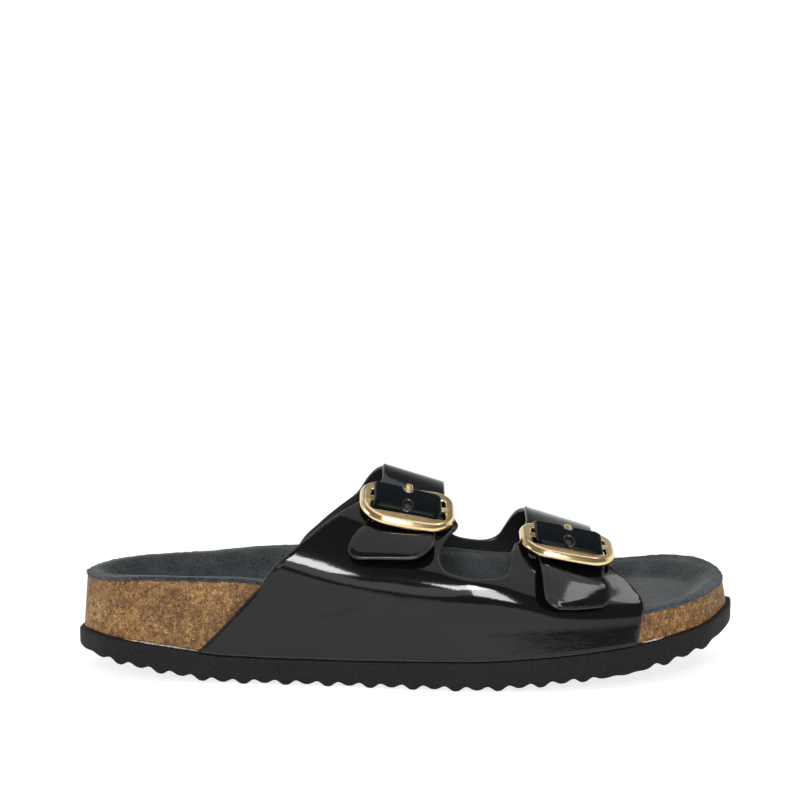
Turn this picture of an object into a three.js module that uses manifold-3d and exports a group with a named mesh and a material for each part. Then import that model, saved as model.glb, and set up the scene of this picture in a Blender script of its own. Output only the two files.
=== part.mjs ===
// Two-strap slide sandal for the right foot, in millimetres.
// +X points to the toe, -Y to the outer side of the foot and +Z up.
// The origin is on the floor, in the middle of the sole's length and width.
import * as THREE from 'three';
import { mergeVertices } from 'three/addons/utils/BufferGeometryUtils.js';
import Module from 'manifold-3d';

const wasm = await Module();
wasm.setup();

// Sole sizes
const SOLE_LENGTH = 262;
const BALL_WIDTH = 96;
const SOLE_THICKNESS = 11.5;
const HEEL_LIFT = 9.5;
const TOE_SPRING = 18.5;
const LUG_PITCH = 16.4;
const LUG_DEPTH = 2.0;
const LUG_FLAT = 4.5;
const FIRST_LUG = 18.6;
const LUG_VALLEY = 0.72;
const SMALL_LUG = 0.45;

// Footbed sizes
const FOOTBED_WALL = 34;
const CUP_DEPTH = 13;
const CORK_SETBACK = 1.95;
const CORK_LEAN = 1.8;
const RIM_LIP = 2.6;
const INSOLE_THICKNESS = 1.4;

// Upper sizes
const INSTEP_HEIGHT = 77.2;
const INSTEP_SLOPE = 0.315;
const LEATHER = 1.9;
const UPPER_PROUD = 0.6;
const SHOULDER_DROP = 3;
const CREST_OFFSET = 10;

// Strap ends and buckles
const BAR_DISTANCE = 34;
const BAR_RADIUS = 1.4;
const BAR_LIFT = 3.4;
const FRAME_LENGTH = 37.5;
const FRAME_END = 4.15;
const FRAME_THICKNESS = 3.2;
const FRAME_CORNER = 9.5;
const FRAME_STAND = 1.3;
const FRAME_BEVEL = 0.6;
const WINDOW_LENGTH = FRAME_LENGTH - 2 * FRAME_END;
const WINDOW_DEPTH = 14.5;
const WINDOW_CORNER = 1.6;
const UPPER_BAR = 5;
const LOWER_BAR = 6.8;
const PRONG_WIDTH = 2.6;
const PRONG_THICKNESS = 1.7;
const PRONG_WALL = 0.8;
const STRAP_PLAY = 1.6;
const STRAP_WIDTH = WINDOW_LENGTH - 2 * STRAP_PLAY;
const TAIL_FLARE = 4.5;
const TAIL_CORNER = 9;
const TAIL_LENGTH = 28.5;

const BAR_SEAT = 1;
const PRONG_NECK = 1.3;
const RING_TOP = 0.98;

// Clearance between pieces that touch
const GAP = 0.3;

// Number of faces
const LOOP_STEPS = 74;
const TOP_STEPS = 44;
const UPPER_STATIONS = 26;
const ARCH_STEPS = 12;
const SMALL_STEPS = 12;
const FRAME_STEPS = 6;

// One row for each cross-section of the sole, from the heel to the toe. The
// columns are shares: along of the length, outer and inner edge of the ball
// width, the two rims of the footbed wall, lift of the heel lift, spring of the
// toe spring, thick of the sole thickness and cup of the cup depth.
const SOLE_COLUMNS = ['along', 'outer', 'inner', 'outerRim', 'innerRim', 'lift', 'spring', 'thick', 'cup'];
const SOLE_SECTIONS = [
  [0.00, 0.000, 0.000, 0.668, 0.668, 1.00, 0.000, 0.53, 0.80],
  [0.02, -0.135, 0.146, 0.655, 0.680, 0.84, 0.000, 0.71, 0.82],
  [0.05, -0.229, 0.234, 0.688, 0.700, 0.67, 0.000, 0.83, 0.85],
  [0.10, -0.302, 0.302, 0.760, 0.740, 0.48, 0.000, 0.90, 0.88],
  [0.16, -0.339, 0.333, 0.820, 0.800, 0.24, 0.000, 0.955, 0.92],
  [0.24, -0.359, 0.333, 0.888, 0.925, 0.00, 0.000, 0.94, 0.95],
  [0.32, -0.380, 0.318, 0.850, 0.983, 0.00, 0.000, 0.895, 1.00],
  [0.40, -0.411, 0.307, 0.790, 1.000, 0.00, 0.000, 0.895, 1.00],
  [0.48, -0.448, 0.328, 0.700, 0.980, 0.00, 0.000, 0.93, 0.96],
  [0.54, -0.476, 0.363, 0.635, 0.915, 0.00, 0.000, 0.97, 0.90],
  [0.60, -0.496, 0.412, 0.575, 0.830, 0.00, 0.000, 1.00, 0.80],
  [0.66, -0.500, 0.463, 0.515, 0.745, 0.00, 0.050, 1.00, 0.72],
  [0.72, -0.490, 0.495, 0.462, 0.660, 0.00, 0.125, 0.965, 0.62],
  [0.80, -0.443, 0.500, 0.406, 0.568, 0.00, 0.235, 0.94, 0.46],
  [0.86, -0.380, 0.479, 0.367, 0.555, 0.00, 0.330, 0.93, 0.36],
  [0.91, -0.302, 0.432, 0.347, 0.552, 0.00, 0.455, 0.895, 0.38],
  [0.95, -0.208, 0.359, 0.338, 0.505, 0.00, 0.600, 0.82, 0.38],
  [0.98, -0.083, 0.260, 0.306, 0.365, 0.00, 0.800, 0.71, 0.38],
  [1.00, 0.095, 0.095, 0.274, 0.274, 0.00, 1.000, 0.61, 0.38],
];

// Shape of the arch of the upper from its crest, down to each rim. Across is the
// share of the way out to the rim and rise the share of the height above it.
const ARCH_SHAPE = {
  outer: [[0, 1], [0.07, 0.992], [0.2, 0.945], [0.4, 0.84], [0.6, 0.757], [0.75, 0.673], [0.87, 0.565],
    [0.945, 0.41], [0.987, 0.2], [1, 0]],
  inner: [[0, 1], [0.1, 0.994], [0.22, 0.97], [0.42, 0.9], [0.62, 0.77], [0.78, 0.6], [0.9, 0.4],
    [0.97, 0.2], [1, 0]],
};

// Edges of the upper seen from the side. Each row is the share of the sole's
// length and the rise on the arch: 0 at the rim, 1 at the crest, -1 at the sole.
const REAR_STRAP = [0.465, 0.5585];
const FRONT_STRAP = [0.682, 0.784];
const UPPER_EDGES = {
  outer: {
    rear: [[0.190, -1.05], [0.240, -0.46], [0.2885, 0.06], [0.3446, 0.365], [0.4027, 0.635], [0.432, 0.745],
      [0.452, 0.79]],
    middle: [[0.574, 0.79], [0.5775, 0.765], [0.5735, 0.73], [0.564, 0.68], [0.552, 0.555], [0.549, 0.465],
      [0.556, 0.395], [0.574, 0.375], [0.600, 0.380], [0.630, 0.420], [0.6435, 0.455], [0.650, 0.54],
      [0.6535, 0.64], [0.660, 0.73], [0.669, 0.775]],
    front: [[0.7925, 0.79], [0.8011, 0.735], [0.8214, 0.605], [0.835, 0.44], [0.8405, 0.36], [0.840, 0.21],
      [0.836, -1.05]],
  },
  inner: {
    rear: [[0.236, -1.05], [0.285, -0.45], [0.330, 0.04], [0.3645, 0.25], [0.397, 0.43], [0.4225, 0.582],
      [0.4393, 0.767], [0.4515, 0.885], [0.4605, 0.943]],
    middle: [[0.5595, 0.85], [0.563, 0.6], [0.568, 0.35], [0.575, 0.26], [0.599, 0.24], [0.625, 0.26],
      [0.643, 0.345], [0.6535, 0.50], [0.6695, 0.80]],
    front: [[0.786, 0.9], [0.792, 0.7], [0.802, 0.4], [0.810, 0.1], [0.812, -0.3], [0.807, -1.05]],
  },
};

// Path of a strap end through its buckle. From is the place past the centre bar,
// as a share of half the window, lift the height of its outer face as a share of
// its height on the bar, thick its share of the leather and ride how far it
// follows the turn of its buckle.
const STRAP_PATH = [
  { from: -1.655, lift: -0.062, thick: 0.45, ride: 0 },
  { from: -1.324, lift: -0.049, thick: 0.5, ride: 0 },
  { from: -0.938, lift: -0.012, thick: 0.7, ride: 0.2 },
  { from: -0.703, lift: 0.198, thick: 1, ride: 0.8 },
  { from: -0.455, lift: 0.642, thick: 1, ride: 1 },
  { from: -0.179, lift: 0.975, thick: 1, ride: 1 },
  { from: 0.138, lift: 1, thick: 1, ride: 1 },
  { from: 0.386, lift: 0.815, thick: 1, ride: 1 },
  { from: 0.634, lift: 0.506, thick: 1, ride: 0.8 },
  { from: 0.883, lift: 0.296, thick: 1, ride: 0.3 },
];
const LEAN_START = 0.386;
const TAIL_ROWS = 9;

// Each buckle sits at a share of the length. Lean is how far the strap end moves
// along the shoe to its tip, in strap widths, tail its share of the tail length,
// turn the degrees by which the frame tips towards the heel and stand its extra
// height off the wall, in frame stands.
const BUCKLES = [
  { name: 'rear', along: 0.503, lean: -0.31, tail: 0.93, turn: 0, stand: 0 },
  { name: 'front', along: 0.7395, lean: 0.08, tail: 1.07, turn: 4, stand: 0.85 },
];

// Interpolation of a column that never overshoots its rows
function smoothTable(xs, ys) {
  const slopes = ys.slice(1).map((y, i) => (y - ys[i]) / (xs[i + 1] - xs[i]));
  const tangents = xs.map((_, i) => {
    if (i === 0) return slopes[0];
    if (i === xs.length - 1) return slopes[i - 1];
    const [before, after] = [slopes[i - 1], slopes[i]];
    return before * after <= 0 ? 0 : (2 * before * after) / (before + after);
  });
  return (x) => {
    let i = 0;
    while (i < xs.length - 2 && x > xs[i + 1]) i += 1;
    const width = xs[i + 1] - xs[i];
    const t = THREE.MathUtils.clamp((x - xs[i]) / width, 0, 1);
    const rise = ys[i + 1] - ys[i];
    const ease = t * t * (3 - 2 * t);
    return ys[i] + ease * rise + width * t * (1 - t) * ((1 - t) * tangents[i] - t * tangents[i + 1]);
  };
}

// The share of the length becomes an angle, so the ends of the outline are round
const shareToAngle = (share) => Math.acos(1 - 2 * THREE.MathUtils.clamp(share, 0, 1));
const angles = SOLE_SECTIONS.map((row) => shareToAngle(row[0]));
const column = Object.fromEntries(SOLE_COLUMNS.map((name, i) => {
  const read = smoothTable(angles, SOLE_SECTIONS.map((row) => row[i]));
  return [name, (share) => read(shareToAngle(share))];
}));

const SIDES = { outer: { rim: 'outerRim', sign: -1 }, inner: { rim: 'innerRim', sign: 1 } };
const shareAt = (x) => x / SOLE_LENGTH + 0.5;
const xAt = (share) => (share - 0.5) * SOLE_LENGTH;
const edgeY = (share, side) => column[side](share) * BALL_WIDTH;
const floorLine = (share) => column.lift(share) * HEEL_LIFT + column.spring(share) * TOE_SPRING;
const soleTop = (share) => floorLine(share) + column.thick(share) * SOLE_THICKNESS;
const rimHeight = (share, side) => soleTop(share) + column[SIDES[side].rim](share) * FOOTBED_WALL;

// A point of the sole's outline at an angle round it, moved inwards by an inset
function outlinePoint(angle, inset = 0) {
  const at = (a) => {
    const turn = THREE.MathUtils.euclideanModulo(a, 2 * Math.PI);
    const share = (1 - Math.cos(turn)) / 2;
    return new THREE.Vector2(xAt(share), edgeY(share, turn <= Math.PI ? 'outer' : 'inner'));
  };
  const step = 0.02;
  const along = at(angle + step).sub(at(angle - step)).normalize();
  return at(angle).add(new THREE.Vector2(-along.y, along.x).multiplyScalar(inset));
}

// The line that the rings of the footbed close on
const SPINE = { from: 0.12, to: 0.85 };
function spinePoint(angle) {
  const share = THREE.MathUtils.clamp((1 - Math.cos(angle)) / 2, SPINE.from, SPINE.to);
  return new THREE.Vector2(xAt(share), (edgeY(share, 'outer') + edgeY(share, 'inner')) / 2);
}

// A ring round the sole: reach 1 is the outline after its inset, 0 the spine
function soleRing(reach, inset, height) {
  return Array.from({ length: LOOP_STEPS }, (_, i) => {
    const angle = (2 * Math.PI * i) / LOOP_STEPS;
    const rim = outlinePoint(angle, inset);
    const spot = spinePoint(angle).lerp(rim, reach);
    return new THREE.Vector3(spot.x, spot.y, height(spot, angle, reach));
  });
}

function dropEmptyFaces(geometry) {
  const index = geometry.index.array;
  const kept = [];
  for (let i = 0; i < index.length; i += 3) {
    const [a, b, c] = index.slice(i, i + 3);
    if (a !== b && b !== c && a !== c) kept.push(a, b, c);
  }
  geometry.setIndex(kept);
  return geometry;
}

// Closed body from rings of equal length, closing on a spine at both ends
function ringBody(rings) {
  const count = rings[0].length;
  const faces = [];
  for (let r = 0; r < rings.length - 1; r += 1) {
    for (let i = 0; i < count; i += 1) {
      const next = (i + 1) % count;
      const [a, b, c, d] = [r * count + i, r * count + next, (r + 1) * count + next, (r + 1) * count + i];
      faces.push(a, b, c, a, c, d);
    }
  }
  return meshFrom(rings.flat(), faces);
}

// Closed body from sections of equal length whose outer and inner paths face each other
function wallBody(sections) {
  const count = sections[0].outer.length;
  const points = sections.flatMap((section) => [...section.outer, ...section.inner]);
  const at = (row, i, inner) => row * 2 * count + (inner ? count : 0) + i;
  const faces = [];
  const quad = (a, b, c, d) => faces.push(a, b, c, a, c, d);
  const last = sections.length - 1;
  for (let row = 0; row < last; row += 1) {
    for (let i = 0; i < count - 1; i += 1) {
      quad(at(row, i), at(row + 1, i), at(row + 1, i + 1), at(row, i + 1));
      quad(at(row, i, true), at(row, i + 1, true), at(row + 1, i + 1, true), at(row + 1, i, true));
    }
    quad(at(row, 0), at(row, 0, true), at(row + 1, 0, true), at(row + 1, 0));
    const end = count - 1;
    quad(at(row, end), at(row + 1, end), at(row + 1, end, true), at(row, end, true));
  }
  for (let i = 0; i < count - 1; i += 1) {
    quad(at(0, i), at(0, i + 1), at(0, i + 1, true), at(0, i, true));
    quad(at(last, i), at(last, i, true), at(last, i + 1, true), at(last, i + 1));
  }
  return meshFrom(points, faces);
}

// Geometry whose faces point out, whichever way the faces were listed
function meshFrom(points, faces) {
  const geometry = new THREE.BufferGeometry().setFromPoints(points);
  geometry.setIndex(faces);
  const merged = dropEmptyFaces(mergeVertices(geometry, 1e-4));
  if (signedVolume(merged) < 0) {
    merged.setIndex(Array.from(merged.index.array).reverse());
  }
  return merged;
}

function signedVolume(geometry) {
  const position = geometry.attributes.position;
  const corner = [new THREE.Vector3(), new THREE.Vector3(), new THREE.Vector3()];
  let sum = 0;
  for (let i = 0; i < geometry.index.count; i += 3) {
    corner.forEach((point, k) => point.fromBufferAttribute(position, geometry.index.getX(i + k)));
    sum += corner[0].dot(corner[1].clone().cross(corner[2]));
  }
  return sum / 6;
}

function toSolid(geometry) {
  const bare = geometry.clone();
  bare.deleteAttribute('normal');
  bare.deleteAttribute('uv');
  const merged = dropEmptyFaces(mergeVertices(bare, 1e-4));
  return new wasm.Manifold(new wasm.Mesh({
    numProp: 3,
    vertProperties: new Float32Array(merged.attributes.position.array),
    triVerts: new Uint32Array(merged.index.array),
  }));
}

function toGeometry(solid) {
  const mesh = solid.getMesh();
  const geometry = new THREE.BufferGeometry();
  geometry.setAttribute('position', new THREE.BufferAttribute(new Float32Array(mesh.vertProperties), 3));
  geometry.setIndex(new THREE.BufferAttribute(new Uint32Array(mesh.triVerts), 1));
  return geometry;
}

// A side-view outline in X and Z, extruded along Y between two places
function sidePrism(shape, fromY, toY, curveSegments = SMALL_STEPS) {
  const settings = { depth: toY - fromY, bevelEnabled: false, curveSegments };
  const geometry = new THREE.ExtrudeGeometry(shape, settings);
  return geometry.rotateX(Math.PI / 2).translate(0, toY, 0);
}

// Underside of the outsole: big lugs with a small one between each pair
function lugHeight(x) {
  const phase = THREE.MathUtils.euclideanModulo(x - FIRST_LUG + LUG_PITCH / 2, LUG_PITCH) - LUG_PITCH / 2;
  const valley = (LUG_VALLEY * LUG_PITCH) / 2;
  const far = Math.abs(phase);
  const flat = LUG_FLAT / 2;
  if (far <= flat) return 0;
  if (far <= valley) {
    const t = (far - flat) / (valley - flat);
    return LUG_DEPTH * t * t * (3 - 2 * t);
  }
  const t = (far - valley) / (LUG_PITCH / 2 - valley);
  return LUG_DEPTH * (1 - SMALL_LUG * t * t * (3 - 2 * t));
}

// The top of the outsole seen from the side, from the toe back to the heel
function soleTopLine(above) {
  return Array.from({ length: TOP_STEPS + 1 }, (_, i) => {
    const share = (1 + Math.cos((Math.PI * i) / TOP_STEPS)) / 2;
    return new THREE.Vector2(xAt(share), soleTop(share) + above);
  });
}

// The underside of the outsole seen from the side, from the heel to the toe
const LUG_FLANK = 0.46;
const SMALL_LUG_FLANK = 0.88;
function lugLine() {
  const half = LUG_PITCH / 2;
  const offsets = [0, LUG_FLAT / 2, LUG_FLANK * half, LUG_VALLEY * half, SMALL_LUG_FLANK * half, half];
  const first = FIRST_LUG - Math.ceil(FIRST_LUG / LUG_PITCH) * LUG_PITCH;
  const places = [];
  for (let lug = first; lug < SOLE_LENGTH + LUG_PITCH; lug += LUG_PITCH) {
    offsets.forEach((offset) => places.push(lug - offset, lug + offset));
  }
  const inside = [...new Set(places)].filter((x) => x > 1 && x < SOLE_LENGTH - 1);
  return [0, ...inside.sort((a, b) => a - b), SOLE_LENGTH].map((x) => {
    const heelFade = THREE.MathUtils.smoothstep(x, 0, LUG_PITCH);
    const toeFade = 1 - THREE.MathUtils.smoothstep(x, SOLE_LENGTH - LUG_PITCH, SOLE_LENGTH);
    const share = x / SOLE_LENGTH;
    return new THREE.Vector2(xAt(share), floorLine(share) + heelFade * toeFade * lugHeight(x));
  });
}

// Cuts a body to what lies inside a closed side-view line
function cutToSide(geometry, line) {
  const cutter = sidePrism(new THREE.Shape(line), -BALL_WIDTH, BALL_WIDTH);
  return toSolid(geometry).intersect(toSolid(cutter));
}

// Cuts a body to what lies above the outsole
function cutAboveSole(geometry) {
  const high = 2 * INSTEP_HEIGHT;
  const ends = [[xAt(0) - 1, high], [xAt(1) + 1, high]].map(([x, y]) => new THREE.Vector2(x, y));
  return cutToSide(geometry, [...ends, ...soleTopLine(GAP)]);
}

function makeOutsole() {
  const [low, high] = [-LUG_DEPTH, 2 * FOOTBED_WALL];
  const block = ringBody([0, 1, 1, 0].map((reach, i) => soleRing(reach, 0, () => (i < 2 ? low : high))));
  const underside = lugLine();
  const top = soleTopLine(0);
  const [behind, ahead] = [xAt(0) - 1, xAt(1) + 1];
  const heel = [new THREE.Vector2(behind, top.at(-1).y), new THREE.Vector2(behind, underside[0].y)];
  const toe = [new THREE.Vector2(ahead, underside.at(-1).y), new THREE.Vector2(ahead, top[0].y)];
  return cutToSide(block, [...heel, ...underside, ...toe, ...top]);
}

// Height of the footbed's surface: a cup below the line between the two rims.
// Its floor ends at a reach that grows from the heel to the toe.
const CUP_FLOOR = { heel: 0.42, toe: 0.66, from: 0.55, to: 0.9 };
function footbedHeight(spot, reach) {
  const share = shareAt(spot.x);
  const [outer, inner] = [edgeY(share, 'outer'), edgeY(share, 'inner')];
  const side = THREE.MathUtils.clamp((spot.y - outer) / Math.max(inner - outer, 1), 0, 1);
  const rim = THREE.MathUtils.lerp(rimHeight(share, 'outer'), rimHeight(share, 'inner'), side);
  const toToe = THREE.MathUtils.smoothstep(share, CUP_FLOOR.from, CUP_FLOOR.to);
  const floor = THREE.MathUtils.lerp(CUP_FLOOR.heel, CUP_FLOOR.toe, toToe);
  return rim - column.cup(share) * CUP_DEPTH * (1 - THREE.MathUtils.smoothstep(reach, floor, 1));
}

const RING_REACHES = [0.94, 0.85, 0.74, 0.6, 0.45, 0];
const rimInset = CORK_SETBACK + CORK_LEAN;

function footbedRings(below) {
  const cup = (spot, angle, reach) => footbedHeight(spot, reach) - below;
  const rim = (spot, angle) => footbedHeight(outlinePoint(angle), 1) - below;
  return [
    soleRing(1, rimInset, rim),
    soleRing(1, rimInset + RIM_LIP, rim),
    ...RING_REACHES.map((reach) => soleRing(reach, rimInset + RIM_LIP, cup)),
  ];
}

function makeInsole() {
  const top = footbedRings(0);
  const bottom = footbedRings(INSOLE_THICKNESS);
  return ringBody([...bottom.reverse(), ...top]);
}

function makeCork() {
  const low = () => -LUG_DEPTH;
  const base = (spot) => soleTop(shareAt(spot.x));
  const block = ringBody([
    soleRing(0, CORK_SETBACK, low),
    soleRing(1, CORK_SETBACK, low),
    soleRing(1, CORK_SETBACK, base),
    ...footbedRings(INSOLE_THICKNESS + GAP),
  ]);
  return cutAboveSole(block);
}

// Height of the ridge of the instep, which falls in a straight line to the toe
const ridgeHeight = (share) => INSTEP_HEIGHT - INSTEP_SLOPE * xAt(share);
const shoulderHeight = (share, side) => rimHeight(share, side) - SHOULDER_DROP;
const footHeight = (share) => soleTop(share) + GAP;
const footY = (share, side) => edgeY(share, side) + SIDES[side].sign * UPPER_PROUD;
const shoulderLean = (share, side) => {
  const wall = column[SIDES[side].rim](share) * FOOTBED_WALL;
  return CORK_LEAN * (1 - SHOULDER_DROP / wall);
};
const shoulderY = (share, side) => footY(share, side) - SIDES[side].sign * shoulderLean(share, side);

// Outer face of one side of the arch, from the crest down to the shoulder
function archPath(share, side, steps) {
  const shape = ARCH_SHAPE[side];
  const curve = new THREE.SplineCurve(shape.map(([across, rise]) => new THREE.Vector2(
    THREE.MathUtils.lerp(CREST_OFFSET, shoulderY(share, side), across),
    THREE.MathUtils.lerp(shoulderHeight(share, side), ridgeHeight(share), rise),
  )));
  curve.arcLengthDivisions = 60;
  return curve.getSpacedPoints(steps);
}

// Outer face of a whole section, from the outer side's foot to the inner side's
function upperPath(share) {
  const wall = (side) => [0, 0.35, 0.7].map((t) => new THREE.Vector2(
    THREE.MathUtils.lerp(footY(share, side), shoulderY(share, side), t),
    THREE.MathUtils.lerp(footHeight(share) - LEATHER, shoulderHeight(share, side), t),
  ));
  return [
    ...wall('outer'),
    ...archPath(share, 'outer', ARCH_STEPS).reverse(),
    ...archPath(share, 'inner', ARCH_STEPS).slice(1),
    ...wall('inner').reverse(),
  ];
}

// The same path moved towards the foot by a distance
function offsetPath(path, distance) {
  return path.map((point, i) => {
    const before = path[Math.max(i - 1, 0)];
    const after = path[Math.min(i + 1, path.length - 1)];
    const along = after.clone().sub(before).normalize();
    return point.clone().add(new THREE.Vector2(along.y, -along.x).multiplyScalar(distance));
  });
}

// The shell runs a little past the edges that are cut into it
const SHELL_MARGIN = 0.02;
function makeShell() {
  const rows = Object.values(UPPER_EDGES).flatMap(({ rear, front }) => [...rear, ...front]);
  const shares = rows.map((row) => row[0]);
  const [from, to] = [Math.min(...shares) - SHELL_MARGIN, Math.max(...shares) + SHELL_MARGIN];
  const sections = Array.from({ length: UPPER_STATIONS + 1 }, (_, i) => {
    const share = THREE.MathUtils.lerp(from, to, i / UPPER_STATIONS);
    const outer = upperPath(share);
    const lift = (path) => path.map((point) => new THREE.Vector3(xAt(share), point.x, point.y));
    return { outer: lift(outer), inner: lift(offsetPath(outer, LEATHER)) };
  });
  return cutAboveSole(wallBody(sections));
}

// A place on the side view from a share of the length and a rise on the arch
function sidePlace([share, rise], side) {
  const shoulder = shoulderHeight(share, side);
  const height = rise >= 0
    ? THREE.MathUtils.lerp(shoulder, ridgeHeight(share), rise)
    : THREE.MathUtils.lerp(shoulder, footHeight(share), -rise);
  return new THREE.Vector2(xAt(share), height);
}

// What is cut away from one side of the shell, as three side-view shapes
function upperCutters(side) {
  const edges = UPPER_EDGES[side];
  const high = 2 * INSTEP_HEIGHT;
  const low = -SOLE_THICKNESS;
  const places = (rows) => rows.map((row) => sidePlace(row, side));
  const shape = (start, rows, end) => {
    const [first, ...rest] = places(rows);
    const outline = new THREE.Shape([...start, first.toArray()].map(([x, y]) => new THREE.Vector2(x, y)));
    outline.splineThru(rest);
    end.forEach(([x, y]) => outline.lineTo(x, y));
    return outline;
  };
  const level = (share, rise) => sidePlace([share, rise], side).toArray();
  const rear = shape(
    [[xAt(REAR_STRAP[0]), high], [xAt(0), high], [xAt(0), low], [xAt(edges.rear[0][0]), low]],
    edges.rear,
    [level(REAR_STRAP[0], 0.965)],
  );
  const middle = shape(
    [[xAt(FRONT_STRAP[0]), high], [xAt(REAR_STRAP[1]), high], level(REAR_STRAP[1], 0.9)],
    edges.middle,
    [level(FRONT_STRAP[0], 0.93)],
  );
  const front = shape(
    [[xAt(1), low], [xAt(1), high], [xAt(FRONT_STRAP[1]), high], level(FRONT_STRAP[1], 0.95)],
    edges.front,
    [[xAt(edges.front.at(-1)[0]), low]],
  );
  const reach = SIDES[side].sign * BALL_WIDTH;
  const [fromY, toY] = [Math.min(CREST_OFFSET, reach), Math.max(CREST_OFFSET, reach)];
  return [rear, middle, front].map((outline) => toSolid(sidePrism(outline, fromY, toY, 3)));
}

// A place over the outer wall: distance down from the crest and lift above the face
const ARCH_SAMPLES = 60;
const archCache = new Map();
function wallPlace(share, distance, lift) {
  const key = share.toFixed(6);
  if (!archCache.has(key)) archCache.set(key, archPath(share, 'outer', ARCH_SAMPLES));
  const path = archCache.get(key);
  const step = path[0].distanceTo(path[1]);
  const at = THREE.MathUtils.clamp(distance / step, 0, ARCH_SAMPLES - 1.001);
  const i = Math.floor(at);
  const point = path[i].clone().lerp(path[i + 1], at - i);
  const [before, after] = [path[Math.max(i - 1, 0)], path[Math.min(i + 2, ARCH_SAMPLES)]];
  const along = after.clone().sub(before).normalize();
  const out = new THREE.Vector2(along.y, -along.x);
  return new THREE.Vector3(xAt(share), point.x + lift * out.x, point.y + lift * out.y);
}

// Height of a strap's outer face over the wall where it lies on its centre bar
const STRAP_RISE = BAR_LIFT + BAR_RADIUS + PRONG_WALL + 2 * GAP + LEATHER;
const STRAP_ACROSS = 4;

// Rows of the free end of a strap, from its buckle to its rounded tip
function tailRows(from, tail) {
  const straight = tail - TAIL_CORNER;
  const half = TAIL_ROWS / 2;
  return Array.from({ length: TAIL_ROWS }, (_, k) => {
    const row = k + 1;
    const bend = (Math.max(0, row / half - 1) * Math.PI) / 2;
    const reach = row <= half
      ? THREE.MathUtils.lerp(from, straight, row / half)
      : straight + TAIL_CORNER * Math.sin(bend);
    const spread = THREE.MathUtils.smoothstep(reach, from, straight);
    const full = (STRAP_WIDTH + TAIL_FLARE * spread) / 2;
    const width = full - TAIL_CORNER * (1 - Math.cos(bend));
    return { from: reach, lift: LEATHER + GAP, thick: 1, ride: 0, width };
  });
}

// The end of a strap, over its centre bar and down outside the wall
function makeStrapEnd(buckle) {
  const tail = buckle.tail * TAIL_LENGTH;
  const stand = buckle.stand * FRAME_STAND;
  const slope = Math.tan(THREE.MathUtils.degToRad(buckle.turn));
  const half = WINDOW_DEPTH / 2;
  const path = STRAP_PATH.map(({ from, lift, thick, ride }) => (
    { from: from * half, lift: lift * STRAP_RISE, thick, ride, width: STRAP_WIDTH / 2 }
  ));
  const leanStart = LEAN_START * half;
  const sections = [...path, ...tailRows(path.at(-1).from, tail)].map((row) => {
    const progress = THREE.MathUtils.clamp((row.from - leanStart) / (tail - leanStart), 0, 1);
    const centre = xAt(buckle.along) + buckle.lean * STRAP_WIDTH * progress;
    const face = (lift) => Array.from({ length: STRAP_ACROSS + 1 }, (_, k) => {
      const offset = row.width * ((2 * k) / STRAP_ACROSS - 1);
      const extra = row.ride * (stand + slope * offset);
      return wallPlace(shareAt(centre + offset), BAR_DISTANCE + row.from, lift + extra);
    });
    return { outer: face(row.lift), inner: face(row.lift - row.thick * LEATHER) };
  });
  return toSolid(wallBody(sections));
}

// Frame of reference of a buckle: origin on its centre bar, x along the shoe,
// y down the outer side and z out of the leather
function buckleBasis({ along, turn, stand: stands }) {
  const stand = stands * FRAME_STAND;
  const origin = wallPlace(along, BAR_DISTANCE, BAR_LIFT + stand);
  const touch = 1.5 * GAP + stand;
  const upper = wallPlace(along, BAR_DISTANCE - WINDOW_DEPTH / 2 - UPPER_BAR / 2, touch);
  const above = LEATHER + GAP + touch + FRAME_STAND;
  const lower = wallPlace(along, BAR_DISTANCE + WINDOW_DEPTH / 2 + LOWER_BAR / 2, above);
  const half = WINDOW_LENGTH / 2 / SOLE_LENGTH;
  const ahead = wallPlace(along + half, BAR_DISTANCE, BAR_LIFT);
  ahead.sub(wallPlace(along - half, BAR_DISTANCE, BAR_LIFT));
  const down = lower.clone().sub(upper).normalize();
  const forward = ahead.addScaledVector(down, -ahead.dot(down)).normalize();
  const out = new THREE.Vector3().crossVectors(down, forward).normalize();
  if (out.z < 0) out.negate();
  const angle = THREE.MathUtils.degToRad(turn);
  const level = forward.clone();
  forward.multiplyScalar(Math.cos(angle)).addScaledVector(out, Math.sin(angle));
  out.multiplyScalar(Math.cos(angle)).addScaledVector(level, -Math.sin(angle));
  const matrix = new THREE.Matrix4().makeBasis(forward, down, out).setPosition(origin);
  const base = upper.clone().sub(origin).dot(out);
  return { matrix, base };
}

// The basis is left-handed, so what it places has its faces turned round
function placed(geometry, matrix) {
  const moved = geometry.clone().applyMatrix4(matrix);
  const bare = moved.index ? moved.toNonIndexed() : moved;
  bare.deleteAttribute('normal');
  bare.deleteAttribute('uv');
  const merged = dropEmptyFaces(mergeVertices(bare, 1e-4));
  if (signedVolume(merged) < 0) merged.setIndex(Array.from(merged.index.array).reverse());
  return merged;
}

function roundedRectangle(shape, left, right, bottom, top, radius) {
  shape.moveTo(left + radius, bottom);
  shape.lineTo(right - radius, bottom);
  shape.absarc(right - radius, bottom + radius, radius, -Math.PI / 2, 0);
  shape.lineTo(right, top - radius);
  shape.absarc(right - radius, top - radius, radius, 0, Math.PI / 2);
  shape.lineTo(left + radius, top);
  shape.absarc(left + radius, top - radius, radius, Math.PI / 2, Math.PI);
  shape.lineTo(left, bottom + radius);
  shape.absarc(left + radius, bottom + radius, radius, Math.PI, 1.5 * Math.PI);
  return shape;
}

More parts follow.
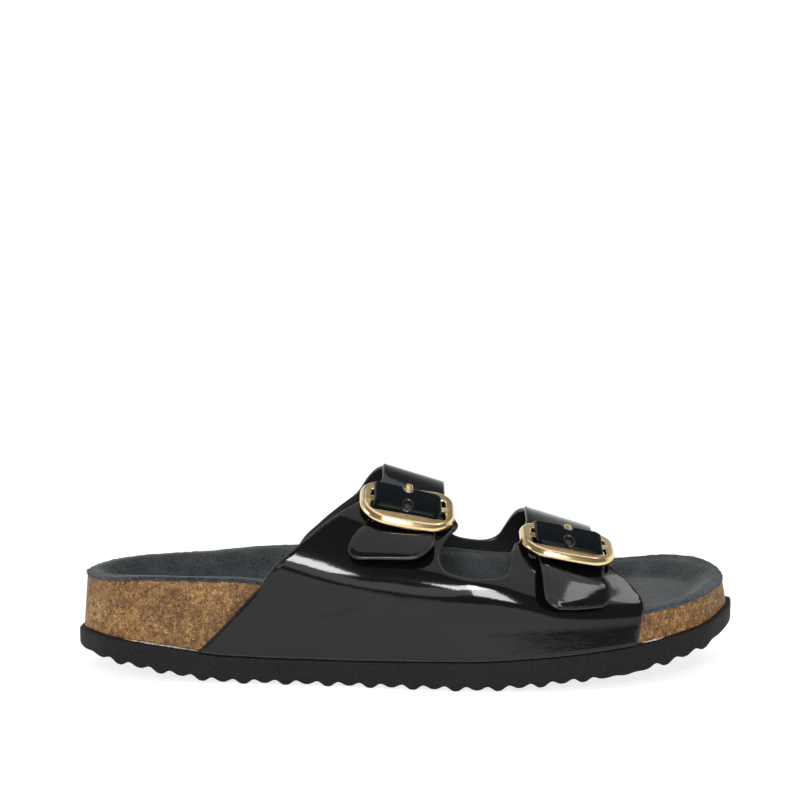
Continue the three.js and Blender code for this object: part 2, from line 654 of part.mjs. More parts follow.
function makeFrame({ matrix, base }) {
  const half = FRAME_LENGTH / 2 - FRAME_BEVEL;
  const top = -WINDOW_DEPTH / 2 - UPPER_BAR + FRAME_BEVEL;
  const bottom = WINDOW_DEPTH / 2 + LOWER_BAR - FRAME_BEVEL;
  const outline = roundedRectangle(new THREE.Shape(), -half, half, top, bottom, FRAME_CORNER);
  const along = WINDOW_LENGTH / 2 + FRAME_BEVEL;
  const across = WINDOW_DEPTH / 2 + FRAME_BEVEL;
  outline.holes.push(roundedRectangle(new THREE.Path(), -along, along, -across, across, WINDOW_CORNER));
  const ring = new THREE.ExtrudeGeometry(outline, {
    depth: FRAME_THICKNESS - 2 * FRAME_BEVEL,
    bevelThickness: FRAME_BEVEL,
    bevelSize: FRAME_BEVEL,
    bevelSegments: 1,
    curveSegments: FRAME_STEPS,
  }).translate(0, 0, base + FRAME_BEVEL);
  const barLength = WINDOW_LENGTH + 2 * BAR_SEAT;
  const bar = new THREE.CylinderGeometry(BAR_RADIUS, BAR_RADIUS, barLength, SMALL_STEPS);
  bar.rotateZ(Math.PI / 2);
  return toGeometry(toSolid(placed(ring, matrix)).add(toSolid(placed(bar, matrix))));
}

// A flat prong hinged round the centre bar, whose tip lies on the upper bar
function makeProng({ matrix, base }) {
  const hole = BAR_RADIUS + GAP;
  const ring = hole + PRONG_WALL;
  const bottom = base + FRAME_THICKNESS + GAP;
  const top = bottom + PRONG_THICKNESS;
  const tip = -WINDOW_DEPTH / 2 - UPPER_BAR + PRONG_THICKNESS / 2;
  const neck = -PRONG_NECK * ring;
  const angleAt = (height) => Math.PI - Math.asin(THREE.MathUtils.clamp(height / ring, -1, 1));
  const topAngle = angleAt(Math.min(top, ring * RING_TOP));
  const bottomAngle = angleAt(Math.min(bottom, (ring * RING_TOP) / 2));
  const outline = new THREE.Shape();
  outline.absarc(0, 0, ring, bottomAngle, topAngle + 2 * Math.PI);
  outline.lineTo(neck, top);
  outline.lineTo(tip, top);
  outline.absarc(tip, (top + bottom) / 2, PRONG_THICKNESS / 2, Math.PI / 2, 1.5 * Math.PI);
  outline.lineTo(neck, bottom);
  outline.holes.push(new THREE.Path().absarc(0, 0, hole, 0, 2 * Math.PI));
  const profile = new THREE.ExtrudeGeometry(outline, {
    depth: PRONG_WIDTH, bevelEnabled: false, curveSegments: SMALL_STEPS,
  });
  const side = new THREE.Matrix4().makeBasis(
    new THREE.Vector3(0, 1, 0),
    new THREE.Vector3(0, 0, 1),
    new THREE.Vector3(1, 0, 0),
  );
  return placed(profile.translate(0, 0, -PRONG_WIDTH / 2).applyMatrix4(side), matrix);
}

// The slot in a strap that its prong comes up through
function prongSlot({ matrix }) {
  const length = WINDOW_DEPTH / 2;
  const slot = new THREE.BoxGeometry(PRONG_WIDTH + 4 * GAP, length, STRAP_RISE);
  slot.translate(0, 2 * GAP - length / 2, STRAP_RISE / 2);
  return toSolid(placed(slot, matrix));
}

const bases = BUCKLES.map(buckleBasis);
const strapEnds = BUCKLES.map((buckle, i) => makeStrapEnd(buckle).subtract(prongSlot(bases[i])));
const cutters = Object.keys(SIDES).flatMap(upperCutters);
const shell = cutters.reduce((solid, cutter) => solid.subtract(cutter), makeShell());
const upper = strapEnds.reduce((solid, end) => solid.add(end), shell);

const finishes = {
  foam: { color: '#1b1c1e', roughness: 0.85, metalness: 0 },
  cork: { color: '#a5773f', roughness: 0.8, metalness: 0 },
  suede: { color: '#272c30', roughness: 0.95, metalness: 0 },
  patent: { color: '#0b0b0c', roughness: 0.08, metalness: 0 },
  brass: { color: '#c9a266', roughness: 0.2, metalness: 1 },
};

const group = new THREE.Group();
function addPiece(name, geometry, finish) {
  const mesh = new THREE.Mesh(geometry, new THREE.MeshStandardMaterial(finishes[finish]));
  mesh.name = name;
  group.add(mesh);
}

addPiece('outsole', toGeometry(makeOutsole()), 'foam');
addPiece('cork_footbed', toGeometry(makeCork()), 'cork');
addPiece('insole', makeInsole(), 'suede');
addPiece('upper', toGeometry(upper), 'patent');
BUCKLES.forEach(({ name }, i) => {
  addPiece(`buckle_frame_${name}`, makeFrame(bases[i]), 'brass');
  addPiece(`buckle_prong_${name}`, makeProng(bases[i]), 'brass');
});

export default group;
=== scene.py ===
"""Looks of a two-strap cork sandal for the right foot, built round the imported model.

Lengths in the classes are in millimetres, in the row's own frame: +X to the toe, -Y to
the outer side of the foot and +Z up. Meshes are written in metres.
"""

import logging
import math
from dataclasses import dataclass, field
from enum import Enum
from typing import Callable, Sequence, Union

import bmesh
import bpy
import numpy as np
from mathutils import Matrix, Vector
from mathutils.geometry import delaunay_2d_cdt

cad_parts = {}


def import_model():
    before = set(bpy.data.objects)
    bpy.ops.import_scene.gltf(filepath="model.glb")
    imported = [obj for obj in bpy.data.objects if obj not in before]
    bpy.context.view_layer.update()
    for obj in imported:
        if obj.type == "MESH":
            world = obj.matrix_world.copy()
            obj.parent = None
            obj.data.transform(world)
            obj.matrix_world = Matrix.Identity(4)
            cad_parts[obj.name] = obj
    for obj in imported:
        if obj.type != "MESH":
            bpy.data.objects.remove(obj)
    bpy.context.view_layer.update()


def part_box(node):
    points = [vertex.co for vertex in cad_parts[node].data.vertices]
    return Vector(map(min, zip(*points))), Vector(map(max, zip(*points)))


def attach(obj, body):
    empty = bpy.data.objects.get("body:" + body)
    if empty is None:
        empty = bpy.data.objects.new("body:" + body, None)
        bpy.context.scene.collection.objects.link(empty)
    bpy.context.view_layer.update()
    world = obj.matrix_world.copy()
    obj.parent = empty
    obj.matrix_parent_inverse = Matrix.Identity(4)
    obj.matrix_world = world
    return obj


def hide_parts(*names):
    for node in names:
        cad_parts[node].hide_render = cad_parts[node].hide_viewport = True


MM = 0.001
TINY = 1e-12  # keeps a division off zero
LAST_CELL = 1.001  # keeps a reading inside the last cell of a grid
SHORT_EDGE = 1e-7  # metres, below which an edge is dropped
LOG = logging.getLogger("sandal")
Array = np.ndarray
Pair = tuple[float, float]
Triple = tuple[float, float, float]
Rows = tuple[tuple[float, ...], ...]
Colour = Triple
Stops = Sequence[tuple[float, Colour]]
Srgb = tuple[int, int, int]
Shades = Sequence[tuple[float, Srgb]]
Piece = bpy.types.Object
Paint = bpy.types.Material


class Side(Enum):
    """A side of the foot: its name in the tables and the sign of Y there."""

    OUTER = ("outer", -1)
    INNER = ("inner", 1)

    @property
    def key(self) -> str:
        """Name of the side in the tables."""
        return self.value[0]

    @property
    def sign(self) -> int:
        """Sign of Y on this side."""
        return self.value[1]


def smooth_table(xs: Sequence[float], ys: Sequence[float]) -> Callable[[Array], Array]:
    """Read a column of a table with a curve that never overshoots its rows.

    Args:
        xs: Places of the rows.
        ys: Values of the rows.

    Returns:
        A function of the place, which takes arrays.
    """
    x, y = np.asarray(xs, float), np.asarray(ys, float)
    slopes = np.diff(y) / np.diff(x)
    before, after = slopes[:-1], slopes[1:]
    same = before * after > 0
    total = np.where(same, before + after, 1.0)
    inner = np.where(same, 2 * before * after / total, 0.0)
    tangents = np.concatenate([slopes[:1], inner, slopes[-1:]])

    def read(place: Array) -> Array:
        """Values at places.

        Args:
            place: The places.

        Returns:
            The values.
        """
        at = np.asarray(place, float)
        i = np.clip(np.searchsorted(x, at, side="left") - 1, 0, len(x) - 2)
        width = x[i + 1] - x[i]
        t = np.clip((at - x[i]) / width, 0, 1)
        ease = t * t * (3 - 2 * t)
        bend = width * t * (1 - t) * ((1 - t) * tangents[i] - t * tangents[i + 1])
        return y[i] + ease * (y[i + 1] - y[i]) + bend

    return read


def smoothstep(value: Array, low: float, high: float) -> Array:
    """Ease from 0 at low to 1 at high."""
    t = np.clip((np.asarray(value, float) - low) / (high - low), 0, 1)
    return t * t * (3 - 2 * t)


def lerp(a: Array, b: Array, t: Array) -> Array:
    """Mix a and b by t."""
    return a + (b - a) * t


def unit(vectors: Array) -> Array:
    """Vectors of length 1 along the last axis."""
    return vectors / np.maximum(np.linalg.norm(vectors, axis=-1, keepdims=True), TINY)


def round_angles(count: int) -> Array:
    """Angles at even steps of a full turn."""
    return np.linspace(0, 2 * np.pi, count, endpoint=False)


def circle(count: int) -> Array:
    """Points at even steps on a circle of radius 1."""
    turn = round_angles(count)
    return np.stack([np.cos(turn), np.sin(turn)], axis=1)


def spline(points: Array, steps: int) -> Array:
    """Sample a curve through points, with steps samples between each pair.

    Args:
        points: The points.
        steps: Samples between two.

    Returns:
        The samples.
    """
    ends = np.vstack([2 * points[0] - points[1], points, 2 * points[-1] - points[-2]])
    t = (np.arange(steps) / steps)[:, None]
    pieces = []
    for a, b, c, d in zip(ends, ends[1:], ends[2:], ends[3:]):
        square = 2 * a - 5 * b + 4 * c - d
        pieces.append(b + ((3 * (b - c) + d - a) * t**3 + square * t**2 + (c - a) * t) / 2)
    return np.vstack([*pieces, points[-1:]])


def resample(points: Array, count: int) -> Array:
    """Count points at even distances along a line of points.

    Args:
        points: The line.
        count: How many points.

    Returns:
        The new points.
    """
    steps = np.linalg.norm(np.diff(points, axis=0), axis=1)
    lengths = np.concatenate([[0], np.cumsum(steps)])
    at = np.linspace(0, lengths[-1], count)
    return np.stack([np.interp(at, lengths, points[:, k]) for k in range(points.shape[1])], axis=1)


def blur(values: Array, sigma: float, axis: int) -> Array:
    """Smooth an array of samples along one axis.

    Args:
        values: The samples.
        sigma: Width of the smoothing, in samples.
        axis: The axis that it runs along.

    Returns:
        An array of the same shape. Its ends keep their slope.
    """
    reach = int(math.ceil(3 * sigma))
    weights = np.exp(-0.5 * (np.arange(-reach, reach + 1) / sigma) ** 2)
    weights /= weights.sum()
    moved = np.moveaxis(values, axis, 0)
    head = 2 * moved[:1] - moved[reach:0:-1]
    tail = 2 * moved[-1:] - moved[-2 : -reach - 2 : -1]
    padded = np.concatenate([head, moved, tail])
    out = sum(w * padded[k : k + len(moved)] for k, w in enumerate(weights))
    return np.moveaxis(out, 0, axis)


@dataclass(frozen=True)
class Last:
    """The form of the sole, the footbed and the arch of the upper.

    Each row of sections is one station, whose values are shares of the sizes. At shares of
    the length, roll lifts the shoulder of the outer arch and roll_ease moves it outwards.
    """

    length: float = 262.0
    ball_width: float = 96.0
    thickness: float = 11.5
    heel_lift: float = 9.5
    toe_spring: float = 18.5
    footbed_wall: float = 34.0
    cup_depth: float = 13.0
    cork_setback: float = 1.95
    cork_lean: float = 1.8
    rim_lip: float = 2.6
    instep_height: float = 77.2
    instep_slope: float = 0.315
    leather: float = 1.9
    upper_proud: float = 0.6
    shoulder_drop: float = 3.0
    crest_offset: float = 10.0
    gap: float = 0.3
    spine: Pair = (0.12, 0.85)
    outline_step: float = 0.02
    cup_floor: Pair = (0.42, 0.66)
    cup_span: Pair = (0.55, 0.9)
    columns: tuple[str, ...] = (
        "along", "outer", "inner", "outer_rim", "inner_rim", "lift", "spring", "thick", "cup",
    )
    sections: Rows = (
        (0.00, 0.000, 0.000, 0.668, 0.668, 1.00, 0.000, 0.53, 0.80),
        (0.02, -0.135, 0.146, 0.655, 0.680, 0.84, 0.000, 0.71, 0.82),
        (0.05, -0.229, 0.234, 0.688, 0.700, 0.67, 0.000, 0.83, 0.85),
        (0.10, -0.302, 0.302, 0.760, 0.740, 0.48, 0.000, 0.90, 0.88),
        (0.16, -0.339, 0.333, 0.820, 0.800, 0.24, 0.000, 0.955, 0.92),
        (0.24, -0.359, 0.333, 0.888, 0.925, 0.00, 0.000, 0.94, 0.95),
        (0.32, -0.380, 0.318, 0.850, 0.983, 0.00, 0.000, 0.895, 1.00),
        (0.40, -0.411, 0.307, 0.790, 1.000, 0.00, 0.000, 0.895, 1.00),
        (0.48, -0.448, 0.328, 0.700, 0.980, 0.00, 0.000, 0.93, 0.96),
        (0.54, -0.476, 0.363, 0.635, 0.915, 0.00, 0.000, 0.97, 0.90),
        (0.60, -0.496, 0.412, 0.575, 0.830, 0.00, 0.000, 1.00, 0.80),
        (0.66, -0.500, 0.463, 0.515, 0.745, 0.00, 0.050, 1.00, 0.72),
        (0.72, -0.490, 0.495, 0.462, 0.660, 0.00, 0.125, 0.965, 0.62),
        (0.80, -0.443, 0.500, 0.406, 0.568, 0.00, 0.235, 0.94, 0.46),
        (0.86, -0.380, 0.479, 0.367, 0.555, 0.00, 0.330, 0.93, 0.36),
        (0.91, -0.302, 0.432, 0.347, 0.552, 0.00, 0.455, 0.895, 0.38),
        (0.95, -0.208, 0.359, 0.338, 0.520, 0.00, 0.600, 0.82, 0.38),
        (0.98, -0.083, 0.260, 0.306, 0.440, 0.00, 0.800, 0.71, 0.38),
        (1.00, 0.095, 0.095, 0.274, 0.274, 0.00, 1.000, 0.61, 0.38),
    )
    arch: dict[str, Rows] = field(default_factory=lambda: {
        "outer": (
            (0, 1), (0.07, 0.992), (0.2, 0.945), (0.4, 0.84), (0.59, 0.757), (0.715, 0.673),
            (0.775, 0.575), (0.835, 0.45), (0.905, 0.32), (0.95, 0.22), (0.98, 0.13),
            (0.996, 0.06), (1, 0),
        ),
        "inner": (
            (0, 1), (0.1, 0.994), (0.22, 0.97), (0.42, 0.9), (0.62, 0.77), (0.78, 0.6),
            (0.9, 0.4), (0.97, 0.2), (1, 0),
        ),
    })
    wall_rows: tuple[float, ...] = (0, 0.35, 0.7)
    arch_steps: int = 12
    roll: Rows = (
        (0.25, 0.2), (0.33, 0.13), (0.42, 0.07), (0.5, 0.15), (0.55, 0.21), (0.62, 0.27),
        (0.72, 0.09),
    )
    roll_top: float = 0.62
    roll_ease: Rows = (
        (0.25, 0.0), (0.44, 0.0), (0.5, 0.013), (0.57, 0.018), (0.64, 0.018), (0.7, 0.0),
        (0.9, 0.0),
    )
    turn_spread: float = 0.1
    turn_rise: float = 0.6
    turn_reach: Pair = (0.6, 0.25)
    turn_full: float = 0.013

    @classmethod
    def from_frame(cls) -> "Last":
        """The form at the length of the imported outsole."""
        low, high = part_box("outsole")
        return cls(length=(high.x - low.x) / MM)

    @staticmethod
    def angle_of(share: Array) -> Array:
        """Angle round the outline at a share of the length."""
        return np.arccos(1 - 2 * np.clip(share, 0, 1))

    def column(self, name: str, share: Array) -> Array:
        """Read one column of the table of sections.

        Args:
            name: Name of the column.
            share: Share of the length.

        Returns:
            The values.
        """
        k = self.columns.index(name)
        rows = np.array(self.sections)
        return smooth_table(self.angle_of(rows[:, 0]), rows[:, k])(self.angle_of(share))

    def x_at(self, share: Array) -> Array:
        """X at a share of the length."""
        return (np.asarray(share, float) - 0.5) * self.length

    def share_at(self, x: Array) -> Array:
        """Share of the length at an X."""
        return np.asarray(x, float) / self.length + 0.5

    def edge_y(self, share: Array, side: Side) -> Array:
        """Y of the edge of the sole."""
        return self.column(side.key, share) * self.ball_width

    def floor_line(self, share: Array) -> Array:
        """Height of the underside of the sole, without its lugs."""
        lift = self.column("lift", share) * self.heel_lift
        return lift + self.column("spring", share) * self.toe_spring

    def sole_top(self, share: Array) -> Array:
        """Height of the top of the outsole."""
        return self.floor_line(share) + self.column("thick", share) * self.thickness

    def rim(self, share: Array, side: Side) -> Array:
        """Height of the rim of the footbed."""
        wall = self.column(side.key + "_rim", share) * self.footbed_wall
        return self.sole_top(share) + wall

    def outline(self, angle: Array, inset: float = 0.0) -> Array:
        """Points of the outline of the sole, moved inwards.

        Args:
            angle: Angles round the outline.
            inset: How far inwards.

        Returns:
            The points in X and Y.
        """

        def at(a: Array) -> Array:
            """Points of the edge of the sole.

            Args:
                a: Angles round it.

            Returns:
                The points in X and Y.
            """
            turn = np.mod(a, 2 * np.pi)
            share = (1 - np.cos(turn)) / 2
            outer, inner = (self.edge_y(share, side) for side in Side)
            return np.stack([self.x_at(share), np.where(turn <= np.pi, outer, inner)], axis=-1)

        along = unit(at(angle + self.outline_step) - at(angle - self.outline_step))
        inwards = np.stack([-along[..., 1], along[..., 0]], axis=-1)
        return at(angle) + inset * inwards

    def even_angles(self, count: int) -> Array:
        """Angles whose points on the outline lie at even distances.

        Args:
            count: How many.

        Returns:
            The angles.
        """
        angle = np.linspace(0, 2 * np.pi, 4 * count + 1)
        steps = np.linalg.norm(np.diff(self.outline(angle), axis=0), axis=1)
        length = np.concatenate([[0], np.cumsum(steps)])
        return np.interp(np.linspace(0, length[-1], count, endpoint=False), length, angle)

    def spine_point(self, angle: Array) -> Array:
        """Points of the line that the rings of the footbed close on.

        Args:
            angle: Angles round the outline.

        Returns:
            The points in X and Y.
        """
        share = np.clip((1 - np.cos(angle)) / 2, *self.spine)
        middle = (self.edge_y(share, Side.OUTER) + self.edge_y(share, Side.INNER)) / 2
        return np.stack([self.x_at(share), middle], axis=-1)

    def footbed_height(self, spot: Array, reach: Array) -> Array:
        """Height of the footbed: a cup below the line between its two rims.

        Args:
            spot: Places in X and Y.
            reach: 1 at the rim and 0 on the spine.

        Returns:
            The heights.
        """
        share = self.share_at(spot[..., 0])
        outer, inner = self.edge_y(share, Side.OUTER), self.edge_y(share, Side.INNER)
        side = np.clip((spot[..., 1] - outer) / np.maximum(inner - outer, 1), 0, 1)
        rim = lerp(self.rim(share, Side.OUTER), self.rim(share, Side.INNER), side)
        start = lerp(*self.cup_floor, smoothstep(share, *self.cup_span))
        cup = self.column("cup", share) * self.cup_depth
        return rim - cup * (1 - smoothstep(reach, start, 1))

    def ridge(self, share: Array) -> Array:
        """Height of the crest of the upper."""
        return self.instep_height - self.instep_slope * self.x_at(share)

    def shoulder_height(self, share: Array, side: Side) -> Array:
        """Height of the shoulder, where the wall of the upper turns over the foot."""
        return self.rim(share, side) - self.shoulder_drop

    def foot_height(self, share: Array) -> Array:
        """Height of the lower edge of the upper."""
        return self.sole_top(share) + self.gap

    def foot_y(self, share: Array, side: Side) -> Array:
        """Y of the lower edge of the upper."""
        return self.edge_y(share, side) + side.sign * self.upper_proud

    def shoulder_y(self, share: Array, side: Side) -> Array:
        """Y of the shoulder of the upper.

        Args:
            share: Share of the length.
            side: The side of the foot.

        Returns:
            The values of Y.
        """
        wall = self.column(side.key + "_rim", share) * self.footbed_wall
        lean = self.cork_lean * (1 - self.shoulder_drop / wall)
        return self.foot_y(share, side) - side.sign * lean

    def half_section(self, share: float, side: Side, count: int) -> Array:
        """Outer face of half a section of the upper, in Y and Z, from its foot to the crest.

        Args:
            share: Share of the length.
            side: The side of the foot.
            count: How many points.

        Returns:
            The points in Y and Z.
        """
        foot = np.array([self.foot_y(share, side), self.foot_height(share)])
        shoulder = np.array([self.shoulder_y(share, side), self.shoulder_height(share, side)])
        crest = np.array([self.crest_offset, self.ridge(share)])
        wall = [lerp(foot, shoulder, t) for t in self.wall_rows]
        shares = np.array(self.arch[side.key])[::-1]
        if side is Side.OUTER:
            shares = self.rolled(share, shares)
        arch = shoulder + (crest - shoulder) * np.stack([1 - shares[:, 0], shares[:, 1]], axis=1)
        return resample(spline(np.vstack([wall, arch]), self.arch_steps), count)

    def rolled(self, share: float, rows: Array) -> Array:
        """Roll the shoulder of the outer arch outwards.

        Args:
            share: Share of the length.
            rows: Shares of the width and the height of the arch, from the shoulder up.

        Returns:
            The rows, with one more just above the shoulder.
        """
        lift = float(smooth_table(*zip(*self.roll))(share))
        high = rows[:, 1]
        rows[:, 1] += lift * np.maximum(0, 1 - high / self.roll_top) * (high > 0)
        ease = float(smooth_table(*zip(*self.roll_ease))(share))
        turn = rows[1, 1]
        rows[1:, 0] -= ease * np.exp(-(((rows[1:, 1] - turn) / self.turn_spread) ** 2))
        reach = lerp(*self.turn_reach, min(1, ease / self.turn_full))
        middle = [1 - (1 - rows[1, 0]) * reach, self.turn_rise * turn]
        return np.insert(rows, 1, middle, axis=0)


class Finish(Enum):
    """The finishes, by the record's material slots."""

    FOAM = "outsole_foam"
    CORK = "cork"
    SUEDE = "suede"
    PATENT = "patent_leather"
    GOLD = "gold_metal"


@dataclass
class Body:
    """Vertices and faces of a mesh in millimetres, with a finish number for each face."""

    points: list[Array] = field(default_factory=list)
    faces: list[tuple[int, ...]] = field(default_factory=list)
    marks: list[int] = field(default_factory=list)
    count: int = 0

    def add_points(self, points: Array) -> int:
        """Add points and return the index of the first.

        Args:
            points: The points, in any grid.

        Returns:
            The index of the first.
        """
        start = self.count
        self.points.append(np.asarray(points, float).reshape(-1, 3))
        self.count += len(self.points[-1])
        return start

    def add_faces(self, faces: Array, mark: int = 0) -> None:
        """Add rows of vertex indices as faces with one finish number.

        Args:
            faces: The rows.
            mark: Finish number of the faces.
        """
        rows = np.asarray(faces, int).tolist()
        self.faces.extend(rows)
        self.marks.extend([mark] * len(rows))

    def add_grid(self, grid: Array, closed: bool, mark: int = 0) -> None:
        """Add a grid of points as quads.

        Args:
            grid: Points in rows.
            closed: Whether each row runs round and meets its own start.
            mark: Finish number of the faces.
        """
        rows, across = grid.shape[:2]
        start = self.add_points(grid)
        ids = start + np.arange(rows * across).reshape(rows, across)
        if closed:
            ids = np.concatenate([ids, ids[:, :1]], axis=1)
        quads = np.stack([ids[:-1, :-1], ids[1:, :-1], ids[1:, 1:], ids[:-1, 1:]], axis=-1)
        self.add_faces(quads.reshape(-1, 4), mark)

    def make(self, name: str, merge: float = 0.002) -> Piece:
        """Make the object, with its faces pointing out.

        Args:
            name: Name of the object.
            merge: Distance in millimetres below which points are merged.

        Returns:
            The object, at the origin.
        """
        mesh = bpy.data.meshes.new(name)
        mesh.from_pydata((np.concatenate(self.points) * MM).tolist(), [], self.faces)
        mesh.polygons.foreach_set("material_index", self.marks)
        work = bmesh.new()
        work.from_mesh(mesh)
        bmesh.ops.remove_doubles(work, verts=work.verts, dist=merge * MM)
        bmesh.ops.dissolve_degenerate(work, edges=work.edges, dist=SHORT_EDGE)
        bmesh.ops.recalc_face_normals(work, faces=work.faces)
        if work.calc_volume(signed=True) < 0:
            bmesh.ops.reverse_faces(work, faces=work.faces)
        work.to_mesh(mesh)
        work.free()
        mesh.polygons.foreach_set("use_smooth", [True] * len(mesh.polygons))
        return link(name, mesh)


def link(name: str, data: bpy.types.ID) -> Piece:
    """Add an object to the scene, at the origin.

    Args:
        name: Its name.
        data: Its mesh, light or camera.

    Returns:
        The object.
    """
    made = bpy.data.objects.new(name, data)
    bpy.context.scene.collection.objects.link(made)
    return made


def hand_over(piece: Piece, finish: Finish, materials: Sequence[Paint], *nodes: str) -> None:
    """Dress a piece, ride it on the part, log its slot and hide the nodes that it replaces.

    Args:
        piece: The piece.
        finish: The finish whose slot it takes.
        materials: Its materials, in the order of its finish numbers.
        nodes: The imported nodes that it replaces.
    """
    for material in materials:
        piece.data.materials.append(material)
    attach(piece, "root")
    if nodes:
        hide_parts(*nodes)
    triangles = sum(len(p.vertices) - 2 for p in piece.data.polygons)
    LOG.info("%s: %d triangles, finish %s", piece.name, triangles, finish.value)


@dataclass
class Outsole:
    """The foam outsole, with wave lugs across its underside."""

    last: Last
    lug_pitch: float = 16.4
    lug_depth: float = 1.8
    lug_flat: float = 0.12
    first_lug: float = 18.6
    short_lug: float = 0.55
    smooth_span: Pair = (0.762, 0.868)
    smooth_ease: float = 0.03
    smooth_left: float = 0.25
    wave: float = 2.2
    wave_length: float = 24.0
    edge_round: float = 0.7
    edge_turns: tuple[float, ...] = (0, 30, 60, 90)
    side_rows: tuple[float, ...] = (0.2, 0.4, 0.6, 0.8)
    top_reaches: tuple[float, ...] = (0.9, 0)
    steps: int = 1300
    rings: int = 30

    def lug_height(self, x: Array) -> Array:
        """Height of the underside over the tips of the lugs, at a distance from the heel.

        Args:
            x: Distances from the heel.

        Returns:
            The heights.
        """
        half, quarter = self.lug_pitch / 2, self.lug_pitch / 4
        far = np.abs(np.mod(x - self.first_lug + half, self.lug_pitch) - half)
        tip = np.where(far > quarter, self.short_lug, 0.0)
        from_tip = np.where(far > quarter, half - far, far) / quarter
        return lerp(tip, self.lug_depth, smoothstep(from_tip, self.lug_flat, 1.0))

    def underside(self, spot: Array) -> Array:
        """Height of the underside at places in X and Y.

        Args:
            spot: The places.

        Returns:
            The heights.
        """
        last = self.last
        share = np.clip(last.share_at(spot[..., 0]), 0, 1)
        outer, inner = last.edge_y(share, Side.OUTER), last.edge_y(share, Side.INNER)
        inside = np.minimum(spot[..., 1] - outer, inner - spot[..., 1])
        wave = self.wave * (1 - np.cos(2 * np.pi * np.maximum(inside, 0) / self.wave_length)) / 2
        x = share * last.length
        heel_fade = smoothstep(x, 0, self.lug_pitch)
        toe_fade = 1 - smoothstep(x, last.length - self.lug_pitch, last.length)
        start, end = self.smooth_span
        smooth = smoothstep(share, start, start + self.smooth_ease)
        smooth = smooth * (1 - smoothstep(share, end - self.smooth_ease, end))
        fade = heel_fade * toe_fade * lerp(1.0, self.smooth_left, smooth)
        return last.floor_line(share) + fade * self.lug_height(x + wave)

    def build(self) -> Piece:
        """Make the outsole.

        Returns:
            The outsole.
        """
        last = self.last
        angle = last.even_angles(self.steps)
        share = (1 - np.cos(angle)) / 2
        spine = last.spine_point(angle)
        top, r = last.sole_top(share), self.edge_round

        def ring(inset: float, reach: float, height: Callable[[Array], Array]) -> Array:
            """A ring of the outsole, whose height is a function of its places."""
            spot = lerp(spine, last.outline(angle, inset), reach)
            return np.column_stack([spot, height(spot)])

        under = self.underside(last.outline(angle, 0.0))
        rings = [ring(r, reach, self.underside) for reach in np.linspace(0, 1, self.rings)]
        for turn in np.radians(self.edge_turns[1:]):
            inset, rise = r * (1 - np.sin(turn)), r * (1 - np.cos(turn))
            rings.append(ring(inset, 1, lambda spot, rise=rise: self.underside(spot) + rise))
        for t in self.side_rows:
            rings.append(ring(0, 1, lambda _, t=t: lerp(under + r, top - r, t)))
        for turn in np.radians(self.edge_turns[::-1]):
            inset, drop = r * (1 - np.sin(turn)), r * (1 - np.cos(turn))
            rings.append(ring(inset, 1, lambda _, drop=drop: top - drop))
        for reach in self.top_reaches:
            rings.append(ring(r, reach, lambda spot: last.sole_top(last.share_at(spot[..., 0]))))
        body = Body()
        body.add_grid(np.array(rings), closed=True)
        return body.make("outsole_foam_sheet")


